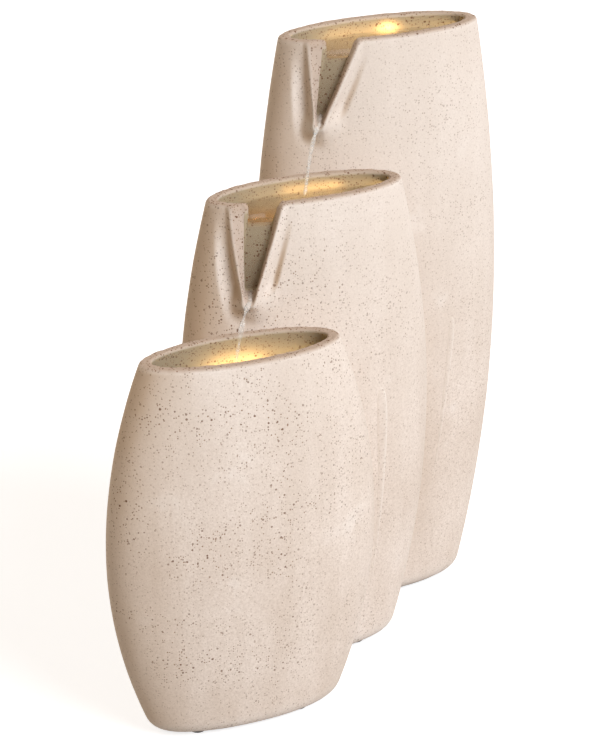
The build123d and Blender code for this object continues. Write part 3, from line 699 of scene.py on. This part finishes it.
def spout_edges(form, shares, drop, weir):
    """Outer edge, crease and inner edge of a spout, down to its drip edge and its weir."""
    drops = (drop, drop - SILL_RISE, weir)
    return [spout_edge(form, *share, depth) for share, depth in zip(shares, drops)]


def spout_vessel(name, node, form, edges, seed):
    """Casts an open barrel with a spout, and returns the three edges of its rim."""
    rims = [spout_rim(form, edge) for edge in edges]
    rows = barrel_rows(form, rims, lip_swell(form, edges[0]), form.foot)
    cast_vessel(name, node, rows, False, seed)
    return rims


middle = barrel_form("middle_vessel", MIDDLE_MOUTH, MIDDLE_BASE)
middle_edges = spout_edges(middle, MIDDLE_SPOUT, MIDDLE_DROP, MIDDLE_WEIR)
middle_rims = spout_vessel("middle_casting", "middle_vessel", middle, middle_edges, MIDDLE_SEED)

# Tall vessel: the highest barrel, made as the middle one is.
# The hose ends in its basin, and the water starts its way down at its beak.
TALL_MOUTH = 0.0795
TALL_BASE = 0.0741
TALL_SEED = 3.0
TALL_DROP = 0.061
TALL_WEIR = 0.014
TALL_SPOUT = (
    ((-0.80, -0.365), (-0.665, -0.625)),
    ((-0.71, -0.405), (-0.71, -0.645)),
    ((-0.70, -0.40), (-0.67, -0.455)),
)
tall = barrel_form("tall_vessel", TALL_MOUTH, TALL_BASE)
tall_edges = spout_edges(tall, TALL_SPOUT, TALL_DROP, TALL_WEIR)
tall_rims = spout_vessel("tall_casting", "tall_vessel", tall, tall_edges, TALL_SEED)

# Webs: two hollow-ended ribs of the same mix between the barrels.
# They keep the three vessels apart, hide the hose and carry the tie bolts.
EDGE_COLUMNS = 16
EDGE_ROWS = 60
EDGE_SPREAD = 3.5
EDGE_ENDS = 8
# Where each edge starts and ends on the barrel: share of its half length, and height.
FRONT_EDGE = ((0.50, 0.05), (0.475, 0.224))
FRONT_EDGE_RISE = 0.0016
REAR_EDGE = ((0.40, 0.09), (0.49, 0.238))
REAR_EDGE_RISE = 0.0010


def dress(material, *names):
    """Gives these solids their finish, as they stand."""
    for name in names:
        mesh = cad_nodes[name].data
        mesh.materials.clear()
        mesh.materials.append(material)


def web_edge(name, form, foot, top, size):
    """Soft upright edge where a web runs into a barrel's front, wide and low."""
    middle_z, half = (top[1] + foot[1]) / 2, (top[1] - foot[1]) / 2
    turns = np.linspace(0, 2 * pi, EDGE_COLUMNS, endpoint=False)
    ring = np.stack([EDGE_SPREAD * np.cos(turns), np.sin(turns), 0 * turns], axis=-1)
    rows = []
    for rise in np.sin(np.linspace(-pi / 2, pi / 2, EDGE_ROWS)[1:-1]):
        angle = around(foot[0] + (top[0] - foot[0]) * (rise + 1) / 2)
        centre = outer_ring(form, np.array([angle]), np.array([middle_z + half * rise]))
        height = size * (1 - rise**EDGE_ENDS) ** 0.5 * (1 + rise) / 2
        rows.append((centre + height * ring, 0, 0))
    edge = placed(name, rings_mesh(name, rows, True), sandstone)
    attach(edge, "fountain")


dress(sandstone, "front_web", "rear_web")
web_edge("front_web_edge", middle, *FRONT_EDGE, FRONT_EDGE_RISE)
web_edge("rear_web_edge", tall, *REAR_EDGE, REAR_EDGE_RISE)

# Base plates and basins: thin grey cement castings that close the open barrels.
# The plates lie in the feet of the barrels, the basins stand on posts inside.
CEMENT = (0.42, 0.40, 0.37, 1)
CEMENT_DARK = (0.27, 0.255, 0.23, 1)
CEMENT_ROUGH = 0.8
CEMENT_CLOUDS = 60
CEMENT_GRAINS = 1400
CEMENT_CLOUD_SHARE = 0.7
CEMENT_GRAIN_SHARE = 0.3
CEMENT_SPAN = (0.35, 0.65)
CEMENT_HOLES = {"cell": 0.005, "fewest": 0.6, "widest": 0.25, "soft": 0.05}
CEMENT_RELIEF = (0.3, 0.0006)


def trowelled_cement(name):
    """Grey cement: clouded by the trowel, grainy, with a few air holes."""
    material, tree, surface = finish_material(name, (("Roughness", CEMENT_ROUGH),))
    coords = on_object(tree)
    cloud = noise(tree, coords, CEMENT_CLOUDS, detail=5, rough=0.6)
    grain = noise(tree, coords, CEMENT_GRAINS, detail=2, rough=0.6)
    fine = product(tree, grain, CEMENT_GRAIN_SHARE)
    tone = maths(tree, "ADD", product(tree, cloud, CEMENT_CLOUD_SHARE), fine)
    colour = mixed(tree, ranged(tree, tone, *CEMENT_SPAN), CEMENT_DARK, CEMENT)
    holes = specks(tree, coords, **CEMENT_HOLES)
    tree.links.new(mixed(tree, holes, colour, CEMENT_DARK), surface.inputs["Base Color"])
    height = maths(tree, "SUBTRACT", grain, holes)
    raised(tree, surface, height, *CEMENT_RELIEF)
    return material


cement = trowelled_cement("grey_cement_cast")
dress(cement, "middle_base_plate", "tall_base_plate", "middle_basin", "tall_basin")

# Feet, seals and suction cups: moulded black rubber, pressed or pushed in place.
# Talc from the mould stays as a faint bloom in the fine pebbled skin.
RUBBER = (0.018, 0.018, 0.019, 1)
RUBBER_BLOOM = (0.055, 0.055, 0.056, 1)
RUBBER_PEBBLE = 0.0008
RUBBER_ROUGH = 0.72
RUBBER_RELIEF = 0.35
BLOOM_WAVES = 70
BLOOM_SPAN = (0.35, 0.7)
PEBBLE_SPAN = (0.3, 0.7)
PEBBLE_GLOSS = 0.08
PEBBLE_RELIEF = 0.2
PEBBLE_DEPTH = 0.0002


def moulded(name, dark, light, grain_size, rough, relief=PEBBLE_RELIEF):
    """Moulded skin: a fine pebble in colour, gloss and relief, for rubber and plastics."""
    material, tree, surface = finish_material(name)
    coords = on_object(tree)
    pebble = noise(tree, coords, 1 / grain_size, detail=2, rough=0.6)
    cloud = noise(tree, coords, BLOOM_WAVES, detail=3, rough=0.5)
    colour = mixed(tree, ranged(tree, cloud, *BLOOM_SPAN), dark, light)
    tree.links.new(colour, surface.inputs["Base Color"])
    gloss = ranged(tree, pebble, *PEBBLE_SPAN, rough - PEBBLE_GLOSS, rough + PEBBLE_GLOSS)
    tree.links.new(gloss, surface.inputs["Roughness"])
    raised(tree, surface, pebble, relief, PEBBLE_DEPTH)
    return material


rubber = moulded(
    "black_rubber_moulded", RUBBER, RUBBER_BLOOM, RUBBER_PEBBLE, RUBBER_ROUGH, RUBBER_RELIEF
)
dress(rubber, "front_feet", "middle_feet", "tall_feet", "pump_cups")
dress(rubber, "front_tie_seals", "rear_tie_seals", "gland_seal", "outlet_gasket")
dress(rubber, "front_lamp_seal", "middle_lamp_seal", "tall_lamp_seal")
dress(rubber, "front_sleeve", "rear_sleeve", "front_lamp_hold", "rear_bush", "front_bush")

# Tie bolts: stainless screws, washers and nuts through the webs.
# They clamp two barrels to each web, with a rubber seal under each head.
STEEL = (0.56, 0.555, 0.545, 1)
STEEL_DULL = (0.40, 0.395, 0.385, 1)
STEEL_LINES = (900, 200, 900)
STEEL_SPAN = (0.35, 0.65)
STEEL_ROUGH = (0.3, 0.7, 0.24, 0.42)
STEEL_RELIEF = (0.12, 0.0002)


def turned_steel(name):
    """Stainless steel with the fine lines that the lathe leaves."""
    material, tree, surface = finish_material(name, (("Metallic", 1.0),))
    lines = noise(tree, stretched(tree, on_object(tree), STEEL_LINES), 1.0, detail=3, rough=0.6)
    colour = mixed(tree, ranged(tree, lines, *STEEL_SPAN), STEEL_DULL, STEEL)
    tree.links.new(colour, surface.inputs["Base Color"])
    tree.links.new(ranged(tree, lines, *STEEL_ROUGH), surface.inputs["Roughness"])
    raised(tree, surface, lines, *STEEL_RELIEF)
    return material


steel = turned_steel("stainless_steel_turned")
for tie in ("front", "rear"):
    dress(steel, f"{tie}_tie_bolts", f"{tie}_tie_washers", f"{tie}_tie_nuts")

# Pump: a small black plastic housing on four suction cups in the front vessel.
# A magnet rotor spins on a ceramic shaft behind a cover that pulls off.
PLASTIC = (0.016, 0.017, 0.019, 1)
PLASTIC_WORN = (0.034, 0.035, 0.038, 1)
GREY = (0.20, 0.205, 0.21, 1)
GREY_PALE = (0.27, 0.275, 0.28, 1)
CERAMIC = (0.80, 0.79, 0.75, 1)
CERAMIC_SHADE = (0.70, 0.69, 0.64, 1)
PLASTIC_PEBBLE = 0.0006
PLASTIC_ROUGH = 0.46
GREY_ROUGH = 0.42
CERAMIC_GRAIN = 0.0003
CERAMIC_ROUGH = 0.22
CERAMIC_RELIEF = 0.05
black_plastic = moulded(
    "black_plastic_moulded", PLASTIC, PLASTIC_WORN, PLASTIC_PEBBLE, PLASTIC_ROUGH
)
grey_plastic = moulded("grey_plastic_moulded", GREY, GREY_PALE, PLASTIC_PEBBLE, GREY_ROUGH)
ceramic = moulded(
    "white_ceramic_ground", CERAMIC, CERAMIC_SHADE, CERAMIC_GRAIN, CERAMIC_ROUGH, CERAMIC_RELIEF
)
dress(black_plastic, "pump_body")
dress(grey_plastic, "pump_cover", "flow_dial", "pump_rotor")
dress(ceramic, "rotor_shaft")

# Riser hose and outlet: clear soft tube from the pump through both webs.
# It ends in a black plastic fitting screwed up through the highest basin, and
# a gland of the same plastic is nutted into the back of the tall vessel.
HOSE_TINT = (0.86, 0.92, 0.90, 1)
HOSE_BEND = 1.42
HOSE_CLEAR = 0.9
HAZE_WAVES = 160
HAZE_ROUGH = (0.3, 0.7, 0.12, 0.3)


def clear_tube(name):
    """Clear soft plastic with a slight haze."""
    sockets = (("Base Color", HOSE_TINT), ("IOR", HOSE_BEND), ("Transmission Weight", HOSE_CLEAR))
    material, tree, surface = finish_material(name, sockets)
    haze = noise(tree, on_object(tree), HAZE_WAVES, detail=3, rough=0.6)
    tree.links.new(ranged(tree, haze, *HAZE_ROUGH), surface.inputs["Roughness"])
    return material


hose_clear = clear_tube("clear_hose_extruded")
dress(hose_clear, "riser_hose")
dress(black_plastic, "outlet_fitting", "outlet_nut", "cord_gland", "gland_nut")

# Lamps: sealed warm light discs, one under the water of each vessel.
# A black body holds a small board under a pale domed lens.
LENS = (0.95, 0.78, 0.48, 1)
GLOW = (1.0, 0.66, 0.25, 1)
GLOW_SPAN = (0.2, 0.8, 4.8, 7.2)
LENS_ROUGH = 0.25
FROST_WAVES = 500
BOARD = (0.82, 0.80, 0.72, 1)
BOARD_PALE = (0.88, 0.86, 0.78, 1)
BOARD_GRAIN = 0.0005
BOARD_ROUGH = 0.35


def warm_lens(name):
    """Frosted lens, lit from behind and a little uneven."""
    sockets = (("Base Color", LENS), ("Roughness", LENS_ROUGH), ("Emission Color", GLOW))
    material, tree, surface = finish_material(name, sockets)
    frost = noise(tree, on_object(tree), FROST_WAVES, detail=2, rough=0.5)
    tree.links.new(ranged(tree, frost, *GLOW_SPAN), surface.inputs["Emission Strength"])
    return material


lens = warm_lens("warm_lens_lit")
board = moulded("light_board_coated", BOARD, BOARD_PALE, BOARD_GRAIN, BOARD_ROUGH)
dress(black_plastic, "middle_lamp_hold", "tall_lamp_hold")
for vessel in ("front", "middle", "tall"):
    dress(black_plastic, f"{vessel}_lamp_body")
    dress(board, f"{vessel}_lamp_board")
    dress(lens, f"{vessel}_lamp_lens")

# Pools: the water that stands in the three vessels while the pump runs.
# In the two upper ones it stands over the weir and spills down the chute.
POOL_THICK = 0.002
POOL_LAP = 0.001
POOL_RINGS = 14
POOL_WAVE = 0.0012
FRONT_POOL = 0.221
OVER_WEIR = 0.003
FILM = 0.0007
HEAD_FALL = 3
LANDING_RING = 0.0045
LANDING_REACH = 0.018
WATER_TINT = (0.97, 0.97, 0.95, 1)
WATER_ROUGH = 0.02
WATER_BEND = 1.333
WATER_BODY = 0.25
WATER_CLEAR = 1.0
WATER_LIT = (1.0, 0.50, 0.14, 1)
RUFFLE_WAVES = 140
RUFFLE_RELIEF = (0.1, 0.002)
BRINK_BODY = 0.85
BRINK_GLOW = 0.15
BRINK_REACH = (0.026, 0.026, 0.004)
MIDDLE_CAUGHT = 1.0
TALL_CAUGHT = 0.5
FALL_SPEED = 0.40
FALL_POINTS = 24
GRAVITY = 9.81


def water_finish(name, body, clear):
    """Clear water. What its points carry as wet is the share of lamp light that they catch."""
    sockets = (
        ("Roughness", WATER_ROUGH),
        ("IOR", WATER_BEND),
        ("Transmission Weight", clear),
        ("Emission Color", WATER_LIT),
    )
    material, tree, surface = finish_material(name, sockets)
    lit = carried(tree, "wet")
    tree.links.new(mixed(tree, lit, WATER_TINT, WATER_LIT), surface.inputs["Base Color"])
    tree.links.new(product(tree, lit, BRINK_GLOW), surface.inputs["Emission Strength"])
    solid = ranged(tree, lit, 0.0, 1.0, body, max(body, BRINK_BODY))
    tree.links.new(solid, surface.inputs["Alpha"])
    ruffle = noise(tree, on_object(tree), RUFFLE_WAVES, detail=2, rough=0.5)
    raised(tree, surface, ruffle, *RUFFLE_RELIEF)
    return material


def spill(form, rims, edge, level):
    """Water over a weir and down its chute: rings on the chute, then the same at its surface."""
    head = np.clip(level - rims[2](0)[1], 0, None)
    wet = (head > 0)[:, None]
    film = AIM * FILM * (head / max(head.max(), FILM))[:, None] ** 0.5
    below, above = [], []
    for step, ring in enumerate(chute_rings(form, *rims[1:])[::-1]):
        share = 1 - step / CHUTE_ROWS
        rise = head[:, None] * np.array([0, 0, share**HEAD_FALL])
        below.append(np.where(wet, ring - film, edge))
        above.append(np.where(wet, ring + film + rise, edge))
    return below + above[::-1]


def pool(name, form, level, landing, rims, caught=0.0):
    """A sheet of water from wall to wall, with rings where the thread lands.

    caught is the share of the lamp's light that shows in the water at the brink."""
    turn = rims[2](0)[0]
    edge = inner_ring(form, turn, np.full(COLUMNS, level), -POOL_LAP)
    hub = np.array([form.x, form.y, level])
    brink = rims[2](0)[1] < level
    rows = []

    def lit(ring):
        centre = edge[brink].mean(axis=0) if brink.any() else hub
        reach = np.linalg.norm((ring - centre) / BRINK_REACH, axis=-1)
        return caught * np.exp(-(reach**2))

    for share in np.linspace(0, 1, POOL_RINGS)[1:]:
        rows.append((hub + (edge - hub) * share - [0, 0, POOL_THICK], 0, 0))
    if brink.any():
        for ring in spill(form, rims, edge, level):
            rows.append((ring, 0, lit(ring)))
    for share in np.linspace(1, 0, POOL_RINGS)[:-1]:
        ring = hub + (edge - hub) * share
        reach = np.linalg.norm(ring[:, :2] - landing, axis=-1)
        ring[:, 2] += POOL_WAVE * np.cos(reach / LANDING_RING) * np.exp(-reach / LANDING_REACH)
        rows.append((ring, 0, lit(ring)))
    sheet = placed(name, rings_mesh(name, rows, True), water)
    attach(sheet, "fountain")


def drip_point(form, edge):
    """Tip of a beak, where the thread of water lets go."""
    angle = np.array([edge.middle])
    z = np.array([form.top - edge.drop])
    return (outer_ring(form, angle, z) + lip_swell(form, edge)(angle, z))[0]


def fall(start, level):
    """Path of water thrown from a beak along its aim, down to a level."""
    time = np.linspace(0, (2 * (start[2] - level) / GRAVITY) ** 0.5, FALL_POINTS)[:, None]
    return start + AIM * FALL_SPEED * time - np.array([0, 0, GRAVITY / 2]) * time**2


water = water_finish("water_clear", WATER_BODY, WATER_CLEAR)
middle_level = middle.top - MIDDLE_WEIR + OVER_WEIR
tall_level = tall.top - TALL_WEIR + OVER_WEIR
tall_fall = fall(drip_point(tall, tall_edges[0]), middle_level)
middle_fall = fall(drip_point(middle, middle_edges[0]), FRONT_POOL)
outlet_low, outlet_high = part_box("outlet_fitting")
outlet = np.array((outlet_low + outlet_high) / 2)
pool("front_pool", front, FRONT_POOL, middle_fall[-1][:2], front_rims)
pool("middle_pool", middle, middle_level, tall_fall[-1][:2], middle_rims, MIDDLE_CAUGHT)
pool("tall_pool", tall, tall_level, outlet[:2], tall_rims, TALL_CAUGHT)

# Water threads: clear water that runs over each sill and falls to the next pool.
# It thins as it falls and breaks into beads near its end.
THREAD_RADIUS = 0.0015
THREAD_STEPS = 90
THREAD_SIDES = 10
THREAD_TAPER = (1.15, 0.75)
THREAD_BODY = 0.85
THREAD_CLEAR = 0.88
SWING_WAVES = 150.0
SWING_SPAN = (0.3, 0.7, 0.35, 1.35)
BEAD_RADIUS = 0.0014
BEAD_SIZES = (0.25, 1.1)
BEAD_COUNT = 26
BEAD_ROUNDS = 2
BEAD_SCATTER = 0.0022
TALL_THREAD_SEED = 4
MIDDLE_THREAD_SEED = 9


def thread_tube(tree, path, along, radius):
    """A thread of uneven width along a path, thinner towards its end."""
    fine = add(tree, "GeometryNodeResampleCurve", (("Curve", path), ("Count", THREAD_STEPS)))
    swing = add(tree, "ShaderNodeTexNoise", (("Scale", SWING_WAVES), ("Detail", 2.0)))
    width = product(tree, ranged(tree, swing.outputs[0], *SWING_SPAN), radius)
    width = product(tree, width, ranged(tree, along, 0.0, 1.0, *THREAD_TAPER))
    links = (("Resolution", THREAD_SIDES), ("Radius", 1.0))
    ring = add(tree, "GeometryNodeCurvePrimitiveCircle", links)
    links = (
        ("Curve", fine.outputs[0]),
        ("Profile Curve", ring.outputs[0]),
        ("Scale", width),
        ("Fill Caps", True),
    )
    return add(tree, "GeometryNodeCurveToMesh", links)


def thread_beads(tree, path, along, source):
    """Round beads of random size along a path, more scattered towards its end."""
    links = (("Curve", path), ("Count", source["Beads"]))
    posts = add(tree, "GeometryNodeResampleCurve", links)
    links = (("Curve", posts.outputs[0]),)
    spots = add(tree, "GeometryNodeCurveToPoints", links, mode="EVALUATED")
    links = (("Radius", 1.0), ("Subdivisions", BEAD_ROUNDS))
    drop = add(tree, "GeometryNodeMeshIcoSphere", links)
    smallest, largest = BEAD_SIZES
    links = ((2, smallest), (3, largest), ("Seed", source["Seed"]))
    sizes = add(tree, "FunctionNodeRandomValue", links, data_type="FLOAT")
    girth = product(tree, sizes.outputs[1], source["Bead radius"])
    links = ((0, (-1, -1, -1)), (1, (1, 1, 1)), ("Seed", source["Seed"]))
    jitter = add(tree, "FunctionNodeRandomValue", links, data_type="FLOAT_VECTOR")
    links = ((0, jitter.outputs[0]), ("Scale", product(tree, source["Scatter"], along)))
    offset = add(tree, "ShaderNodeVectorMath", links, operation="SCALE")
    links = (("Geometry", spots.outputs[0]), ("Offset", offset.outputs[0]))
    moved = add(tree, "GeometryNodeSetPosition", links)
    links = (("Points", moved.outputs[0]), ("Instance", drop.outputs[0]), ("Scale", girth))
    return add(tree, "GeometryNodeInstanceOnPoints", links)


def thread_tree(material):
    """A thread along a path with beads about it."""
    sizes = {
        "Thread radius": THREAD_RADIUS,
        "Bead radius": BEAD_RADIUS,
        "Scatter": BEAD_SCATTER,
        "Beads": BEAD_COUNT,
        "Seed": 0,
    }
    tree, source = geometry_tree("water_thread", "Path", "Water", sizes)
    along = add(tree, "GeometryNodeSplineParameter").outputs["Factor"]
    tube = thread_tube(tree, source["Path"], along, source["Thread radius"])
    beads = thread_beads(tree, source["Path"], along, source)
    both = tree.nodes.new("GeometryNodeJoinGeometry")
    for part in (beads, tube):
        tree.links.new(part.outputs[0], both.inputs[0])
    whole = add(tree, "GeometryNodeRealizeInstances", ((0, both.outputs[0]),))
    smooth = add(tree, "GeometryNodeSetShadeSmooth", ((0, whole.outputs[0]),))
    end_tree(tree, smooth.outputs[0], material)
    return tree


def thread(name, form, sill, path, seed):
    """Water from the foot of a chute over the drip edge and down its fall."""
    angle, z = np.array([sill.middle]), np.array([form.top - sill.drop])
    foot = wall_ring(form, angle, z, EDGE_SHARE)
    points = np.concatenate([foot, path]) - AIM * THREAD_RADIUS / 2
    points[:, 2] += THREAD_RADIUS / 2
    curve = bpy.data.curves.new(name, "CURVE")
    curve.dimensions = "3D"
    spline = curve.splines.new("POLY")
    spline.points.add(len(points) - 1)
    weights = np.ones((len(points), 1))
    spline.points.foreach_set("co", np.append(points, weights, axis=1).ravel())
    piece = run_tree(placed(name, curve), threads, seed=seed)
    piece.visible_shadow = False
    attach(piece, "fountain")


threads = thread_tree(water_finish("water_thread", THREAD_BODY, THREAD_CLEAR))
thread("tall_thread", tall, tall_edges[1], tall_fall, TALL_THREAD_SEED)
thread("middle_thread", middle, middle_edges[1], middle_fall, MIDDLE_THREAD_SEED)

# Studio: a pale floor under soft light from the right and front, and a weak fill behind.
# Strips of warm light along the back walls stand for the glow that the water
# spreads, and the camera stands to the left of the front, above the rims.
WHITE = (1, 1, 1, 1)
FLOOR_SIZE = 8.0
FLOOR_PALE = (0.50, 0.50, 0.50, 1)
FLOOR_ROUGH = 0.9
FLOOR_LIFT = 0.72
SOFT_LIGHT = (1.03, 0.83, 0.62, 1)
SOFT_POWER = 0.39
KEY_PLACE = (1.08, -1.95, 1.9)
KEY_LIGHT = (0.99, 1.035, 1.12)
KEY_POWER = 2.68
KEY_SPREAD = radians(35)
FILL_PLACE = (-0.6, 1.9, 0.8)
FILL_LIGHT = (1.0, 0.96, 0.9)
FILL_POWER = 1.0
FILL_SPREAD = radians(60)
WARM_LIGHT = (1.0, 0.66, 0.27)
WASH_LIGHT = (1.0, 0.76, 0.42)
WARM_POWER = 0.011
WARM_OVER = 0.002
WARM_BACK = 0.013
BRIGHT_BACK = 0.015
WASH_BACK = 0.004
WARM_DEEP = 0.004
WARM_TILT = 0.8
FRONT_TILT = 0.2
FRONT_GLOW = 0.024
CAMERA_PLACE = (-0.6816, -1.5252, 0.9677)
CAMERA_TARGET = (0.00695, 0.03565, 0.213)
CAMERA_LENS = 118.7


def seen_directly(tree):
    """1 for rays that show the background itself: straight, mirrored or through glass."""
    rays = add(tree, "ShaderNodeLightPath").outputs
    seen = maths(tree, "MAXIMUM", rays["Is Camera Ray"], rays["Is Glossy Ray"])
    return maths(tree, "MAXIMUM", seen, rays["Is Transmission Ray"])


def pale_floor():
    """A plain floor that shows near white and still throws little light back up."""
    half = FLOOR_SIZE / 2
    mesh = bpy.data.meshes.new("floor")
    corners = [(-half, -half, 0), (half, -half, 0), (half, half, 0), (-half, half, 0)]
    mesh.from_pydata(corners, [], [(0, 1, 2, 3)])
    sockets = (("Base Color", FLOOR_PALE), ("Roughness", FLOOR_ROUGH), ("Emission Color", WHITE))
    material, tree, surface = finish_material("floor_pale", sockets)
    lift = product(tree, seen_directly(tree), FLOOR_LIFT)
    tree.links.new(lift, surface.inputs["Emission Strength"])
    placed("floor", mesh, material)


def white_world():
    """Soft warm light from all sides, and white where the background itself is seen."""
    world = bpy.data.worlds.new("studio")
    bpy.context.scene.world = world
    world.use_nodes = True
    tree = world.node_tree
    soft = tree.nodes["Background"]
    soft.inputs["Color"].default_value = SOFT_LIGHT
    soft.inputs["Strength"].default_value = SOFT_POWER
    white = add(tree, "ShaderNodeBackground", (("Color", WHITE),))
    blend = add(tree, "ShaderNodeMixShader", ((0, seen_directly(tree)),))
    tree.links.new(soft.outputs[0], blend.inputs[1])
    tree.links.new(white.outputs[0], blend.inputs[2])
    tree.links.new(blend.outputs[0], tree.nodes["World Output"].inputs["Surface"])


def set_up(name, data, place, target):
    """Puts a light or a camera in its place, turned to the target."""
    item = bpy.data.objects.new(name, data)
    bpy.context.scene.collection.objects.link(item)
    item.location = place
    item.rotation_euler = (Vector(target) - Vector(place)).to_track_quat("-Z", "Y").to_euler()
    return item


def lamp(name, kind, place, target, energy, colour, **settings):
    """A light that isn't seen itself, only what it lights."""
    data = bpy.data.lights.new(name, kind)
    data.energy = energy
    data.color = colour
    for key, value in settings.items():
        setattr(data, key, value)
    item = set_up(name, data, place, target)
    item.visible_camera = item.visible_glossy = item.visible_transmission = False


pale_floor()
white_world()
lamp("key", "SUN", KEY_PLACE, CAMERA_TARGET, KEY_POWER, KEY_LIGHT, angle=KEY_SPREAD)
lamp("fill", "SUN", FILL_PLACE, CAMERA_TARGET, FILL_POWER, FILL_LIGHT, angle=FILL_SPREAD)
front_strip = (front, front.top - FRONT_GLOW, FRONT_TILT)
middle_strip = (middle, middle_level + WARM_OVER, WARM_TILT)
tall_strip = (tall, tall_level + WARM_OVER, WARM_TILT)
for label, strip, colour, back, across, length, share in (
    ("front_wash", front_strip, WASH_LIGHT, WASH_BACK, 0.022, 0.092, 1.1),
    ("front_glow", front_strip, WARM_LIGHT, WARM_BACK, 0.006, 0.034, 1.0),
    ("middle_wash", middle_strip, WASH_LIGHT, WASH_BACK, 0.015, 0.100, 0.5),
    ("middle_glow", middle_strip, WARM_LIGHT, WARM_BACK, 0.014, 0.044, 0.36),
    ("tall_wash", tall_strip, WASH_LIGHT, WASH_BACK, 0.012, 0.110, 0.65),
    ("tall_glow", tall_strip, WARM_LIGHT, WARM_BACK, -0.010, 0.045, 0.22),
    ("tall_bright", tall_strip, WARM_LIGHT, BRIGHT_BACK, 0.018, 0.008, 0.5),
):
    form, level, tilt = strip
    place = Vector((form.x + across, form.y + back, level))
    aim = place + Vector((0, 1, -tilt))
    shape = {"shape": "RECTANGLE", "size": length, "size_y": WARM_DEEP}
    lamp(label, "AREA", place, aim, WARM_POWER * share, colour, **shape)

camera = bpy.data.cameras.new("camera")
camera.lens = CAMERA_LENS
bpy.context.scene.camera = set_up("camera", camera, CAMERA_PLACE, CAMERA_TARGET)
bpy.context.scene.view_settings.view_transform = "Standard"
